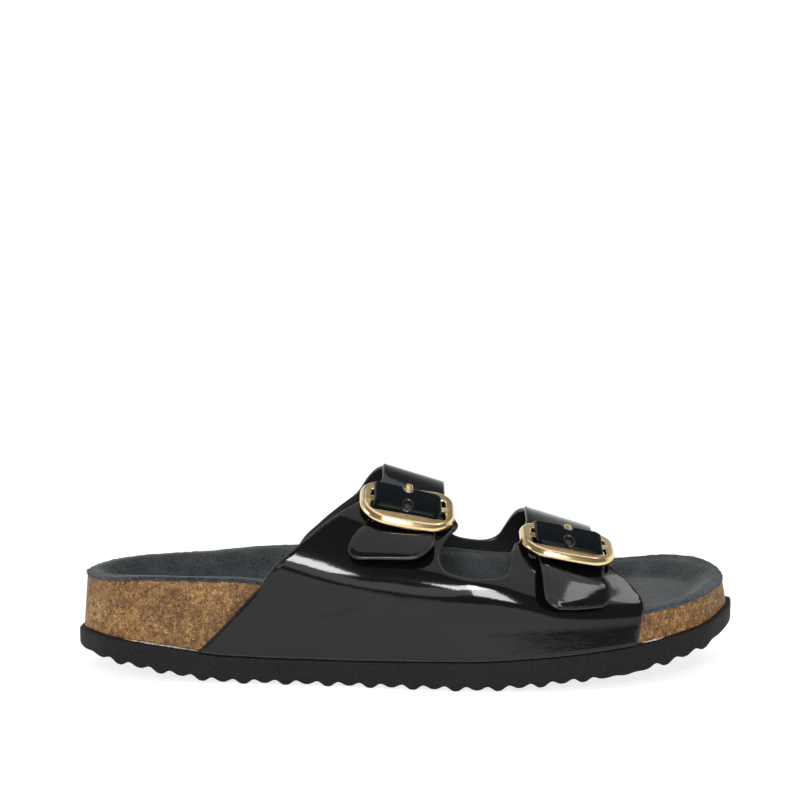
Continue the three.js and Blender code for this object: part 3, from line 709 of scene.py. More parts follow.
@dataclass
class Footbed:
    """The cork block and the suede insole that covers it."""

    last: Last
    suede: float = 1.4
    steps: int = 720
    wall_rings: int = 22
    cup_rings: int = 44
    block_reaches: tuple[float, ...] = (0.98, 0.8, 0.5, 0)
    under_reaches: tuple[float, ...] = (0, 0.3, 0.6, 0.8, 0.94, 1)
    cup_start: float = 0.04
    edge_rows: Rows = (
        (0.15, 1), (-0.1, 0.92), (-0.18, 0.66), (-0.16, 0.38), (-0.02, 0.14),
    )
    lip_rows: Rows = ((0.3, 0.03), (0.8, 0.0), (1.6, 0.0))
    edge_fray: float = 0.4
    fray_waves: Pair = (1.6, 7.0)
    long_fray: float = 0.7
    rise_wave: float = 2.0
    rise_fray: tuple[float, ...] = (1.3, 1.3, 0.5, 0.5, 0.5, 0.5)
    seed: int = 11

    @property
    def rim_inset(self) -> float:
        """Inset of the rim from the edge of the sole."""
        return self.last.cork_setback + self.last.cork_lean

    def ring(self, reach: float, inset: float, below: float, steps: int) -> Array:
        """A ring on the footbed's surface, below it by a distance.

        Args:
            reach: 1 at the rim and 0 on the spine.
            inset: Inset of the rim.
            below: Distance below the surface.
            steps: Points in the ring.

        Returns:
            The ring.
        """
        last = self.last
        angle = round_angles(steps)
        spot = lerp(last.spine_point(angle), last.outline(angle, inset), reach)
        return np.column_stack([spot, last.footbed_height(spot, np.full(steps, reach)) - below])

    def rim_ring(self, inset: float, below: float, steps: int) -> Array:
        """A ring along the rim, whose height doesn't change with its inset.

        Args:
            inset: Inset from the edge of the sole.
            below: Distance below the rim.
            steps: Points in the ring.

        Returns:
            The ring.
        """
        last = self.last
        angle = round_angles(steps)
        height = last.footbed_height(last.outline(angle), np.ones(steps)) - below
        return np.column_stack([last.outline(angle, inset), height])

    def build_cork(self) -> Piece:
        """Make the cork block.

        Returns:
            The block.
        """
        last, steps = self.last, self.steps
        angle = round_angles(steps)
        base = last.sole_top(last.share_at(last.outline(angle, last.cork_setback)[:, 0]))
        foot = np.column_stack([last.outline(angle, last.cork_setback), base + last.gap])
        head = self.rim_ring(self.rim_inset, self.suede, steps)
        spot = last.spine_point(angle)
        spine = np.column_stack([spot, last.sole_top(last.share_at(spot[:, 0])) + last.gap])
        walls = [lerp(foot, head, t) for t in np.linspace(0, 1, self.wall_rings)[1:]]
        inset, below = self.rim_inset + last.rim_lip, self.suede + last.gap
        over = [self.ring(reach, inset, below, steps) for reach in self.block_reaches]
        body = Body()
        body.add_grid(np.array([spine, foot, *walls, *over]), closed=True)
        return body.make("cork_block")

    def build_insole(self) -> Piece:
        """Make the suede insole, with a frayed cut edge along the rim.

        Returns:
            The insole.
        """
        last, steps = self.last, self.steps * 2
        inset, lip = self.rim_inset, self.rim_inset + last.rim_lip
        reaches = np.concatenate([[0], np.linspace(self.cup_start, 1, self.cup_rings)])
        under = [self.ring(reach, lip, self.suede, steps) for reach in self.under_reaches]
        rows = [(out, self.suede * depth) for out, depth in self.edge_rows] + [*self.lip_rows]
        edge = [self.rim_ring(inset + out, depth, steps) for out, depth in rows]
        spine = last.spine_point(round_angles(steps))
        random = np.random.default_rng(self.seed)
        short, long = self.fray_waves
        for ring, rise in zip(edge, self.rise_fray):
            fray = blur(random.normal(size=steps), short, 0)
            fray = fray + self.long_fray * blur(random.normal(size=steps), long, 0)
            ring[:, :2] += self.edge_fray * fray[:, None] * unit(ring[:, :2] - spine)
            ring[:, 2] += self.edge_fray * rise * blur(random.normal(size=steps), self.rise_wave, 0)
        over = [self.ring(reach, lip, 0, steps) for reach in reaches[::-1]]
        frayed = len(self.rise_fray)
        body = Body()
        body.add_grid(np.array([*under, edge[0]]), closed=True)
        body.add_grid(np.array(edge[:frayed]), closed=True, mark=1)
        body.add_grid(np.array([*edge[frayed - 1 :], *over]), closed=True)
        return body.make("suede_insole")


@dataclass
class EdgeFibres:
    """Short suede fibres that stand out of the cut edge of the insole."""

    footbed: Footbed
    density: float = 2600.0
    length: float = 0.9
    radius: float = 0.085
    sides: int = 4
    seed: int = 5
    lean: float = 0.9
    sizes: Pair = (0.4, 1.0)
    strip_rows: Rows = ((0.9, 0.05), (0.5, -0.12), (0.08, 0.1))

    def strip(self) -> Piece:
        """The strip of the cut edge that the fibres grow on.

        Returns:
            The strip.
        """
        footbed = self.footbed
        rows = [
            footbed.rim_ring(footbed.rim_inset + inset, footbed.suede * depth, footbed.steps)
            for depth, inset in self.strip_rows
        ]
        body = Body()
        body.add_grid(np.array(rows), closed=True)
        return body.make("suede_edge_fibres")

    def tree(self, material: Paint) -> bpy.types.NodeTree:
        """Geometry nodes that set a leaning cone at random places of the strip.

        Args:
            material: Finish of the fibres.

        Returns:
            The tree.
        """
        tree = bpy.data.node_groups.new("edge_fibres", "GeometryNodeTree")
        face = tree.interface
        face.new_socket("Geometry", in_out="INPUT", socket_type="NodeSocketGeometry")
        for name in ("Density", "Length", "Radius", "Lean"):
            face.new_socket(name, in_out="INPUT", socket_type="NodeSocketFloat")
        face.new_socket("Seed", in_out="INPUT", socket_type="NodeSocketInt")
        face.new_socket("Geometry", in_out="OUTPUT", socket_type="NodeSocketGeometry")
        net = Net(tree)
        given = net.node("NodeGroupInput").socket.node.outputs

        def value(name: str) -> Value:
            """An input of the tree."""
            return Value(net, given[name])

        spread = net.node(
            "GeometryNodeDistributePointsOnFaces", {},
            {"Mesh": value("Geometry"), "Density": value("Density"), "Seed": value("Seed")},
        )
        scatter = spread.socket.node
        cone = net.node(
            "GeometryNodeMeshCone", {},
            {"Vertices": self.sides, "Radius Bottom": value("Radius"), "Depth": value("Length")},
        )
        lean = value("Lean")
        turn = net.node(
            "FunctionNodeRandomValue", {"data_type": "FLOAT_VECTOR"},
            {0: (0.0, 0.0, 0.0), 1: (1.0, 1.0, 1.0), "Seed": value("Seed")},
        )
        tilt = net.node(
            "ShaderNodeVectorMath", {"operation": "MULTIPLY_ADD"},
            {0: turn, 1: net.node("ShaderNodeCombineXYZ", {}, {k: 2.0 * lean for k in range(3)}),
             2: net.node("ShaderNodeCombineXYZ", {}, {k: -lean for k in range(3)})},
        )
        rotation = net.node(
            "FunctionNodeRotateRotation", {"rotation_space": "LOCAL"},
            {0: Value(net, scatter.outputs["Rotation"]), 1: tilt},
        )
        size = net.node(
            "FunctionNodeRandomValue", {"data_type": "FLOAT"},
            {2: self.sizes[0], 3: self.sizes[1], "Seed": value("Seed") + 1.0}, 1,
        )
        placed = net.node(
            "GeometryNodeInstanceOnPoints", {},
            {"Points": spread, "Instance": cone, "Rotation": rotation, "Scale": size},
        )
        real = net.node("GeometryNodeRealizeInstances", {}, {"Geometry": placed})
        sockets = {"Geometry": real, "Material": material}
        painted = net.node("GeometryNodeSetMaterial", {}, sockets)
        net.node("NodeGroupOutput", {}, {"Geometry": painted})
        return tree

    def build(self, material: Paint) -> Piece:
        """Make the fibres as a mesh.

        Args:
            material: Finish of the fibres.

        Returns:
            The fibres.
        """
        piece = self.strip()
        modifier = piece.modifiers.new("fibres", "NODES")
        modifier.node_group = self.tree(material)
        values = {
            "Density": self.density / MM, "Length": self.length * MM, "Radius": self.radius * MM,
            "Lean": self.lean, "Seed": self.seed,
        }
        for item in modifier.node_group.interface.items_tree:
            if item.in_out == "INPUT" and item.name in values:
                modifier[item.identifier] = values[item.name]
        graph = bpy.context.evaluated_depsgraph_get()
        mesh = bpy.data.meshes.new_from_object(piece.evaluated_get(graph))
        piece.modifiers.remove(modifier)
        piece.data = mesh
        return piece


@dataclass
class GlueBead:
    """Dried glue in the joint between the cork and the outsole."""

    last: Last
    runs: Rows = ((0.075, 0.196), (0.85, 0.885))
    radius: float = 0.42
    spacing: float = 0.45
    around: int = 8
    sink: float = 0.05
    lumps: float = 0.45
    lump_wave: float = 1.2
    taper: float = 0.4
    flatness: float = 0.8
    out_step: float = 2.0
    seed: int = 3

    def build(self) -> Piece:
        """Make the beads.

        Returns:
            The beads, as one piece.
        """
        last = self.last
        random = np.random.default_rng(self.seed)
        body = Body()
        for start, end in self.runs:
            count = int((end - start) * last.length / self.spacing)
            angle = last.angle_of(np.linspace(start, end, count))
            spot = last.outline(angle, last.cork_setback - self.sink)
            height = last.sole_top(last.share_at(spot[:, 0])) + last.gap
            lumps = blur(random.normal(size=count), self.lump_wave, 0)
            size = self.radius * (1 + self.lumps * lumps)
            size *= np.sin(np.linspace(0, np.pi, count)) ** self.taper
            out = unit(last.outline(angle, 0.0) - last.outline(angle, self.out_step))
            rings = []
            for turn in round_angles(self.around):
                flat = spot + out * (size * math.cos(turn))[:, None]
                rise = self.flatness * size * math.sin(turn)
                rings.append(np.column_stack([flat, height + rise]))
            body.add_grid(np.array(rings).transpose(1, 0, 2), closed=True)
        return body.make("glue_bead", merge=0.0001)


class SheetFace(Enum):
    """The finish numbers of a leather sheet."""

    OUTSIDE = 0
    LINING = 1
    EDGE = 2
    # Faces of the strap in the buckle's window, which get the darker, duller patent as painted
    # shade.
    PAINTED_SHADE = 3


def inside_distance(points: Array, loops: Sequence[Array]) -> Array:
    """Distance of points from closed loops, negative outside of them.

    Args:
        points: The points.
        loops: The outline and its holes.

    Returns:
        The distances.
    """
    best = np.full(len(points), np.inf)
    odd = np.zeros(len(points), bool)
    for loop in loops:
        for a, b in zip(loop, np.roll(loop, -1, axis=0)):
            along = b - a
            t = np.clip(((points - a) @ along) / max(along @ along, TINY), 0, 1)
            gap = np.linalg.norm(points - a - t[:, None] * along, axis=1)
            best = np.minimum(best, gap)
            crossing = (a[1] > points[:, 1]) != (b[1] > points[:, 1])
            x = a[0] + (points[:, 1] - a[1]) * along[0] / (along[1] if along[1] else TINY)
            odd ^= crossing & (points[:, 0] < x)
    return np.where(odd, best, -best)


@dataclass
class Sheet:
    """A leather sheet cut to an outline, with a real wall and rounded edges.

    The outline's loops lie in flat coordinates, in millimetres. place turns flat points
    into points on the outer face and its normals.
    """

    loops: list[Array]
    place: Callable[[Array], tuple[Array, Array]]
    wall: Callable[[Array], Array]
    spacing: float = 1.2
    edge_spacing: float = 0.7
    edge_reach: float = 0.8
    edge_steps: int = 7
    fewest_points: int = 12
    grid_margin: float = 0.55
    bevel: float = 0.0
    bevel_start: float = 0.5
    bevel_width: float = 2.2
    # Span along the sheet, in flat Y, whose faces get the darker, duller patent as painted shade.
    painted_shade_span: Pair = (0.0, 0.0)

    def even_loop(self, loop: Array) -> Array:
        """A loop's points at even distances.

        Args:
            loop: The loop.

        Returns:
            The points.
        """
        closed = np.vstack([loop, loop[:1]])
        length = np.linalg.norm(np.diff(closed, axis=0), axis=1).sum()
        return resample(closed, max(self.fewest_points, int(length / self.edge_spacing)))[:-1]

    @staticmethod
    def outward(loop: Array, hole: bool) -> Array:
        """Flat directions that point away from the leather.

        Args:
            loop: A closed loop.
            hole: Whether it bounds a hole.

        Returns:
            A direction for each point.
        """
        along = unit(np.roll(loop, -1, axis=0) - np.roll(loop, 1, axis=0))
        away = np.stack([along[:, 1], -along[:, 0]], axis=1)
        x, y = loop.T
        area = np.sum(x * np.roll(y, -1) - np.roll(x, -1) * y)
        return away if (area > 0) != hole else -away

    def inner_points(self, loops: Sequence[Array]) -> Array:
        """A grid of flat points well inside the loops.

        Args:
            loops: The outline and its holes.

        Returns:
            The points.
        """
        low, high = loops[0].min(axis=0), loops[0].max(axis=0)
        xs, ys = (np.arange(a, b, self.spacing) for a, b in zip(low, high))
        grid = np.stack(np.meshgrid(xs, ys, indexing="ij"), axis=-1).reshape(-1, 2)
        return grid[inside_distance(grid, loops) > self.grid_margin * self.spacing]

    def build(self, body: Body) -> None:
        """Add the sheet to a body.

        Args:
            body: The body that gets it.
        """
        outlines = [self.even_loop(loop) for loop in self.loops]
        aways = [self.outward(loop, hole=k > 0) for k, loop in enumerate(outlines)]
        insets = [loop - self.edge_reach * away for loop, away in zip(outlines, aways)]
        inner = self.inner_points(insets)
        flat = np.vstack([*insets, inner])
        edges, start = [], 0
        for loop in insets:
            ids = np.arange(start, start + len(loop))
            edges += np.stack([ids, np.roll(ids, -1)], axis=1).tolist()
            start += len(loop)
        result = delaunay_2d_cdt([Vector(p) for p in flat], edges, [], 0, 1e-6)
        order = np.array([ids[0] if ids else -1 for ids in result[3]])
        triangles = order[np.array(result[2])]
        centres = flat[triangles].mean(axis=1)
        inside = inside_distance(centres, insets) > 0
        triangles = triangles[(triangles >= 0).all(axis=1) & inside]
        outer, normal = self.place(flat)
        wall = self.wall(flat)[:, None]
        depth = inside_distance(flat, outlines[:1])[:, None]
        start = self.bevel_start * self.edge_reach
        drop = self.bevel * (1 - smoothstep(depth, start, self.bevel_width))
        middle = outer - normal * (wall + drop) / 2
        half = (wall - drop) / 2
        first = body.add_points(middle + normal * half)
        # Faces inside that span get the darker, duller patent: painted shade for the strap in the
        # buckle's window.
        low, high = self.painted_shade_span
        along = flat[triangles].mean(axis=1)[:, 1]
        bent = (along > low) & (along < high)
        for chosen, face in ((~bent, SheetFace.OUTSIDE), (bent, SheetFace.PAINTED_SHADE)):
            body.add_faces(triangles[chosen] + first, face.value)
        second = body.add_points(middle - normal * half)
        body.add_faces(triangles[:, ::-1] + second, SheetFace.LINING.value)
        start = 0
        for outline, loop in zip(outlines, insets):
            ids = slice(start, start + len(loop))
            out = self.place(outline)[0] - self.place(loop)[0]
            turns = np.radians(np.linspace(90, -90, self.edge_steps + 2))
            rise = normal[ids] * half[ids]
            rows = [middle[ids] + rise * math.sin(a) + out * math.cos(a) for a in turns]
            body.add_grid(np.array(rows), closed=True, mark=SheetFace.EDGE.value)
            start += len(loop)


@dataclass
class Upper:
    """The leather upper: its quarters and the two straps over the foot."""

    last: Last
    span: Pair = (0.15, 0.88)
    flat_half: float = 95.0
    stations: int = 260
    samples: int = 161
    fine_samples: int = 400
    curve_steps: int = 10
    bottom_steps: int = 40
    smooth_across: float = 4.0
    smooth_along: float = 5.0
    edges: dict[str, dict[str, Rows]] = field(default_factory=lambda: {
        "outer": {
            "rear": (
                (0.190, -1.0), (0.240, -0.46), (0.2885, 0.06), (0.3446, 0.365), (0.4027, 0.635),
                (0.432, 0.745), (0.452, 0.79), (0.465, 0.93),
            ),
            "middle": (
                (0.5585, 0.9), (0.574, 0.79), (0.5775, 0.765), (0.5735, 0.73), (0.564, 0.68),
                (0.552, 0.555), (0.549, 0.465), (0.556, 0.395), (0.574, 0.375), (0.600, 0.380),
                (0.630, 0.420), (0.6435, 0.455), (0.650, 0.54), (0.6535, 0.64), (0.660, 0.73),
                (0.669, 0.775), (0.682, 0.93),
            ),
            "front": (
                (0.784, 0.95), (0.7925, 0.79), (0.8025, 0.735), (0.824, 0.605), (0.841, 0.44),
                (0.848, 0.33), (0.850, 0.2), (0.847, 0.0), (0.840, -1.0),
            ),
        },
        "inner": {
            "rear": (
                (0.236, -1.0), (0.285, -0.45), (0.330, 0.04), (0.3645, 0.25), (0.397, 0.43),
                (0.4225, 0.582), (0.4393, 0.767), (0.4515, 0.885), (0.4605, 0.943), (0.465, 0.965),
            ),
            "middle": (
                (0.5585, 0.9), (0.5595, 0.85), (0.563, 0.6), (0.568, 0.35), (0.575, 0.26),
                (0.599, 0.24), (0.625, 0.26), (0.643, 0.345), (0.6535, 0.50), (0.6695, 0.80),
                (0.682, 0.93),
            ),
            "front": (
                (0.784, 0.95), (0.786, 0.9), (0.792, 0.7), (0.802, 0.4), (0.810, 0.1),
                (0.812, -0.3), (0.807, -1.0),
            ),
        },
    })
    creases: Rows = (
        (-32.0, -76.0, 20.0, 20.0, 5.0, -0.22),
        (-6.0, -70.0, -12.0, 26.0, 6.0, -0.18),
        (22.0, -74.0, 8.0, 22.0, 5.0, 0.16),
        (52.0, -66.0, -18.0, 18.0, 5.0, -0.20),
        (60.0, -50.0, -35.0, 16.0, 5.0, 0.18),
        (-40.0, 60.0, 15.0, 24.0, 6.0, -0.2),
        (20.0, 64.0, -10.0, 24.0, 6.0, 0.2),
        (58.0, 56.0, 25.0, 18.0, 5.0, -0.2),
    )
    faces: Array = field(init=False)
    normals: Array = field(init=False)
    xs: Array = field(init=False)
    outer_lengths: Array = field(init=False)

    def __post_init__(self) -> None:
        """Work out the outer face as a smooth grid of points and normals."""
        last = self.last
        shares = np.linspace(*self.span, self.stations)
        self.xs = last.x_at(shares)
        rows = []
        for share in shares:
            outer = last.half_section(share, Side.OUTER, self.samples)
            inner = last.half_section(share, Side.INNER, self.samples)
            rows.append(np.vstack([outer, inner[-2::-1]]))
        grid = blur(np.array(rows), self.smooth_across, 1)
        grid = blur(grid, self.smooth_along, 0)
        x = np.broadcast_to(self.xs[:, None, None], grid.shape[:2] + (1,))
        self.faces = np.concatenate([x, grid], axis=2)
        self.normals = self.grid_normals()
        self.faces = self.faces + self.normals * self.crease_depth()[..., None]
        self.normals = self.grid_normals()
        steps = np.linalg.norm(np.diff(self.faces[:, : self.samples], axis=1), axis=2)
        self.outer_lengths = steps.sum(axis=1)

    def grid_normals(self) -> Array:
        """Normals of the grid, which point away from the foot."""
        along, across = np.gradient(self.faces, axis=0), np.gradient(self.faces, axis=1)
        return unit(np.cross(along, across))

    def crease_depth(self) -> Array:
        """Height of the soft troughs and ridges, laid at given flat places.

        Each row of creases holds its middle, its angle in degrees, its length, its width and
        its height.

        Returns:
            The heights over the grid.
        """
        t = np.linspace(-1, 1, self.faces.shape[1]) * self.flat_half
        x, y = np.meshgrid(self.xs, t, indexing="ij")
        depth = np.zeros_like(x)
        for at_x, at_y, angle, length, width, height in self.creases:
            c, s = math.cos(math.radians(angle)), math.sin(math.radians(angle))
            along = (x - at_x) * c + (y - at_y) * s
            across = (y - at_y) * c - (x - at_x) * s
            depth += height * np.exp(-((along / length) ** 2) - (across / width) ** 2)
        return depth

    def wall_place(self, share: Array, distance: Array, lift: Array) -> Array:
        """Places over the outer side of the upper.

        Args:
            share: Shares of the length.
            distance: Distances down from the crest, along the outer face.
            lift: Heights over the outer face, square to it in its own section.

        Returns:
            The places.
        """
        x = self.last.x_at(share)
        length = np.interp(x, self.xs, self.outer_lengths)
        flat = np.stack([x, -self.flat_half * distance / length], axis=-1)
        shape = flat.shape
        point, normal = self.place(flat.reshape(-1, 2))
        normal[:, 0] = 0
        out = unit(normal) * np.broadcast_to(lift, shape[:-1]).reshape(-1, 1)
        return (point + out).reshape(shape[:-1] + (3,))

    def read(self, grid: Array, flat: Array) -> Array:
        """Read a grid between its samples, at flat points.

        Args:
            grid: A grid like the outer face.
            flat: The flat points.

        Returns:
            The values.
        """
        u = (flat[:, 0] - self.xs[0]) / (self.xs[1] - self.xs[0])
        u = np.clip(u, 0, len(self.xs) - LAST_CELL)
        v = (np.clip(flat[:, 1] / self.flat_half, -1, 1) + 1) * (self.samples - 1)
        v = np.clip(v, 0, grid.shape[1] - LAST_CELL)
        i, j = u.astype(int), v.astype(int)
        a, b = (u - i)[:, None], (v - j)[:, None]
        low = lerp(grid[i, j], grid[i + 1, j], a)
        return lerp(low, lerp(grid[i, j + 1], grid[i + 1, j + 1], a), b)

    def place(self, flat: Array) -> tuple[Array, Array]:
        """Points on the outer face and its normals, at flat points."""
        return self.read(self.faces, flat), unit(self.read(self.normals, flat))

    def flat_point(self, share: float, rise: float, side: Side) -> Pair:
        """Flat place of a share of the length and a rise on one side of the arch.

        Args:
            share: Share of the length.
            rise: 1 at the crest, 0 at the shoulder and -1 at the foot.
            side: The side of the foot.

        Returns:
            The flat place.
        """
        last = self.last
        shoulder = float(last.shoulder_height(share, side))
        if rise >= 0:
            height = lerp(shoulder, float(last.ridge(share)), rise)
        else:
            height = lerp(shoulder, float(last.foot_height(share)), -rise)
        section = last.half_section(share, side, self.fine_samples)
        rises = np.maximum.accumulate(section[:, 1])
        t = np.interp(height, rises, np.linspace(1, 0, self.fine_samples))
        return float(last.x_at(share)), side.sign * t * self.flat_half

    def edge_line(self, side: Side, name: str) -> Array:
        """One cut edge of the upper, in flat coordinates."""
        line = spline(np.array(self.edges[side.key][name]), self.curve_steps)
        return np.array([self.flat_point(share, rise, side) for share, rise in line])

    def loops(self) -> list[Array]:
        """The outline of the leather and of the gap between its straps.

        Returns:
            Both loops.
        """
        outer, inner = Side.OUTER, Side.INNER

        def bottom(side: Side) -> Array:
            """The lower edge of one side, from the toe to the heel.

            Args:
                side: The side of the foot.

            Returns:
                The flat points.
            """
            start = self.edges[side.key]["rear"][0][0]
            end = self.edges[side.key]["front"][-1][0]
            shares = np.linspace(end, start, self.bottom_steps)[1:-1]
            return np.array([(self.last.x_at(s), side.sign * self.flat_half) for s in shares])

        around = np.vstack([
            self.edge_line(outer, "rear"),
            self.edge_line(inner, "rear")[::-1],
            bottom(inner)[::-1],
            self.edge_line(inner, "front")[::-1],
            self.edge_line(outer, "front"),
            bottom(outer),
        ])
        gap = np.vstack([self.edge_line(outer, "middle"), self.edge_line(inner, "middle")[::-1]])
        return [around, gap]

    def add_to(self, body: Body) -> None:
        """Add the wall of the upper to a body.

        Args:
            body: The body that gets it.
        """
        wall = self.last.leather
        Sheet(self.loops(), self.place, lambda flat: np.full(len(flat), wall)).build(body)


@dataclass
class Buckle:
    """A buckle with a centre bar and a prong, and the strap end that lies through it.

    The place along the sole and the lean and length of the tail are in the terms of the
    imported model.
    """

    name: str
    upper: Upper
    along: float
    lean: float
    tail: float
    turn: float
    stand: float
    tail_skew: float
    tail_flare: float
    bar_distance: float = 34.0
    bar_radius: float = 1.4
    bar_lift: float = 3.4
    frame_length: float = 37.5
    frame_end: float = 4.15
    frame_thickness: float = 3.2
    frame_corners: Pair = (9.5, 10.5)
    frame_bulge: Pair = (-3.0, 2.4)
    frame_stand: float = 1.3
    frame_arch: float = 0.22
    window_depth: float = 14.5
    window_corners: Pair = (1.6, 1.6)
    upper_bar: float = 5.0
    upper_bar_rise: float = 1.0
    lower_bar: float = 6.8
    bar_seat: float = 1.0
    prong_width: float = 2.6
    prong_thickness: float = 1.7
    prong_wall: float = 0.8
    strap_play: float = 1.6
    tail_corner: float = 6.5
    tail_lift: float = 5.6
    tail_straight: float = 0.45
    tail_bow: float = 1.3
    tail_length: float = 28.5
    slot_end: float = -1.9
    spare_hole: float = 3.2
    hole_radius: float = 1.45
    plug_margin: float = 0.5
    plug_depth: float = 1.1
    plug_wall: float = 0.3
    lean_start: float = 0.386
    strap_path: Rows = (
        (-1.655, -0.062, 0.45, 0), (-1.324, -0.049, 0.5, 0), (-1.02, -0.012, 0.7, 0.2),
        (-0.9, 0.3, 0.9, 0.8), (-0.8, 0.75, 1, 1), (-0.68, 1, 1, 1), (-0.5, 1.04, 1, 1),
        (-0.1, 0.985, 1, 1), (0.25, 0.9, 1, 1), (0.6, 0.73, 1, 1), (0.74, 0.62, 1, 1),
        (0.82, 0.45, 1, 0.8), (0.89, 0.31, 1, 0.4), (0.95, 0.285, 1, 0.2),
    )
    tail_rows: tuple[float, ...] = (0.15, 0.4, 0.7, 1.0, 1.15)
    touch_gaps: float = 1.5
    normal_step: float = 0.15
    side_steps: int = 40
    corner_steps: int = 16
    hole_steps: int = 24
    bar_steps: int = 28
    ring_steps: int = 36
    corner_points: int = 17
    side_points: int = 13
    prong_round: float = 0.25
    prong_square: float = 0.55
    origin: Array = field(init=False)
    axes: Array = field(init=False)
    base: float = field(init=False)

    @property
    def window_length(self) -> float:
        """Length of the window in the frame."""
        return self.frame_length - 2 * self.frame_end

    @property
    def strap_half(self) -> float:
        """Half the width of the strap where it goes through the frame."""
        return self.window_length / 2 - self.strap_play

    @property
    def strap_rise(self) -> float:
        """Height of the strap's outer face where it lies on the centre bar."""
        gap, leather = self.upper.last.gap, self.upper.last.leather
        return self.bar_lift + self.bar_radius + self.prong_wall + 2 * gap + leather

    @property
    def tail_reach(self) -> float:
        """Distance from the centre bar to the tip of the strap."""
        return self.tail * self.tail_length

    def __post_init__(self) -> None:
        """Work out where the buckle lies on the leather."""
        last, place = self.upper.last, self.upper.wall_place
        stand = self.stand * self.frame_stand
        half = self.window_depth / 2
        touch = self.touch_gaps * last.gap + stand
        above = last.leather + last.gap + touch + self.frame_stand
        along = np.array(self.along)
        self.origin = place(along, self.bar_distance, self.bar_lift + stand)
        upper = place(along, self.bar_distance - half - self.upper_bar / 2, touch)
        lower = place(along, self.bar_distance + half + self.lower_bar / 2, above)
        reach = self.window_length / 2 / last.length
        ahead = place(along + reach, self.bar_distance, self.bar_lift)
        ahead = ahead - place(along - reach, self.bar_distance, self.bar_lift)
        down = unit(lower - upper)
        forward = unit(ahead - down * (ahead @ down))
        out = unit(np.cross(down, forward))
        out = out if out[2] > 0 else -out
        c, s = math.cos(math.radians(self.turn)), math.sin(math.radians(self.turn))
        self.axes = np.array([c * forward + s * out, down, c * out - s * forward])
        self.base = float((upper - self.origin) @ self.axes[2])

    def to_world(self, points: Array) -> Array:
        """Points of the buckle's own frame, in the row's frame."""
        return self.origin + points @ self.axes

    def strap_place(self, flat: Array) -> Array:
        """Places on the outer face of the strap end, whose tail is straight along its length.

        Args:
            flat: Places across and along it.

        Returns:
            The places.
        """
        end = self.strap_path[-1][0] * self.window_depth / 2
        across = flat[:, 0] / self.strap_half
        left, right = across * (across - 1) / 2, across * (across + 1) / 2
        weights = np.stack([left, 1 - across**2, right], axis=1)
        xs = np.array([-1, 0, 1]) * self.strap_half
        root = weights @ self.strap_follow(np.column_stack([xs, np.full(3, end)]))
        tip = weights @ self.strap_follow(np.column_stack([xs, np.full(3, self.tail_reach)]))
        share = ((flat[:, 1] - end) / (self.tail_reach - end))[:, None]
        bow = self.tail_bow * np.sin(np.pi * np.clip(share, 0, 1)) * self.axes[2]
        straight = smoothstep(share, 0.0, self.tail_straight)
        return lerp(self.strap_follow(flat), lerp(root, tip, share) + bow, straight)

    def strap_follow(self, flat: Array) -> Array:
        """Places on a strap end that follows the leather below it, across it and along it.

        Args:
            flat: Places across and along it.

        Returns:
            The places.
        """
        last = self.upper.last
        half = self.window_depth / 2
        rows = np.array(self.strap_path)
        end = rows[-1, 0] * half
        tail = lerp(end, self.tail_reach, np.array(self.tail_rows))
        at = np.concatenate([rows[:, 0] * half, tail])
        rest = (last.leather + last.gap) / self.strap_rise
        lifts = np.concatenate([rows[:, 1], np.full(len(tail), rest)])
        rides = np.concatenate([rows[:, 3], np.zeros(len(tail))])
        along = flat[:, 1]
        start = self.lean_start * half
        hang = self.tail_lift * smoothstep(along, end, self.tail_reach)
        progress = np.clip((along - start) / (self.tail_reach - start), 0, 1)
        centre = last.x_at(self.along) + self.lean * 2 * self.strap_half * progress
        lift = smooth_table(at, lifts)(along) * self.strap_rise + hang
        slope = self.stand * self.frame_stand + math.tan(math.radians(self.turn)) * flat[:, 0]
        lift = lift + smooth_table(at, rides)(along) * slope
        share = last.share_at(centre + flat[:, 0])
        return self.upper.wall_place(share, self.bar_distance + along, lift)

    def strap_surface(self, flat: Array) -> tuple[Array, Array]:
        """Outer face and normals of the strap end.

        Args:
            flat: Places across and along it.

        Returns:
            The points and their normals.
        """
        east, south = self.normal_step * np.eye(2)
        across = self.strap_place(flat + east) - self.strap_place(flat - east)
        along = self.strap_place(flat + south) - self.strap_place(flat - south)
        return self.strap_place(flat), unit(np.cross(along, across))

    def strap_wall(self, flat: Array) -> Array:
        """Thickness of the strap end.

        Args:
            flat: Places across and along it.

        Returns:
            The thicknesses.
        """
        rows = np.array(self.strap_path)
        thick = smooth_table(rows[:, 0] * self.window_depth / 2, rows[:, 2])
        return thick(flat[:, 1]) * self.upper.last.leather

    def strap_loops(self) -> list[Array]:
        """Outline of the strap end, of its spare hole and of the slot for the prong.

        Returns:
            The three loops.
        """
        half = self.window_depth / 2
        start, end = (self.strap_path[k][0] * half for k in (0, -1))
        straight = self.tail_reach - self.tail_corner
        sides = np.linspace(start, straight, self.side_steps)
        widths = self.strap_half + self.tail_flare / 2 * smoothstep(sides, end, straight)
        bend = np.linspace(0, np.pi / 2, self.corner_steps)[1:]
        corner_x = self.strap_half + self.tail_flare / 2 - self.tail_corner * (1 - np.cos(bend))
        corner = np.stack([corner_x, straight + self.tail_corner * np.sin(bend)], axis=1)
        right = np.vstack([np.stack([widths, sides], axis=1), corner])
        outline = np.vstack([right, right[::-1] * [-1, 1]])
        outline[:, 1] -= self.tail_skew * outline[:, 0] * smoothstep(outline[:, 1], end, straight)
        round_line = circle(self.hole_steps)
        hole = self.hole_radius * round_line + [0, self.spare_hole]
        wide = self.prong_width / 2 + self.upper.last.gap
        low, high = 2 * self.upper.last.gap - half + wide, self.slot_end - wide
        slot = wide * round_line + np.where(round_line[:, 1:] > TINY, [[0, high]], [[0, low]])
        return [outline, hole, slot]

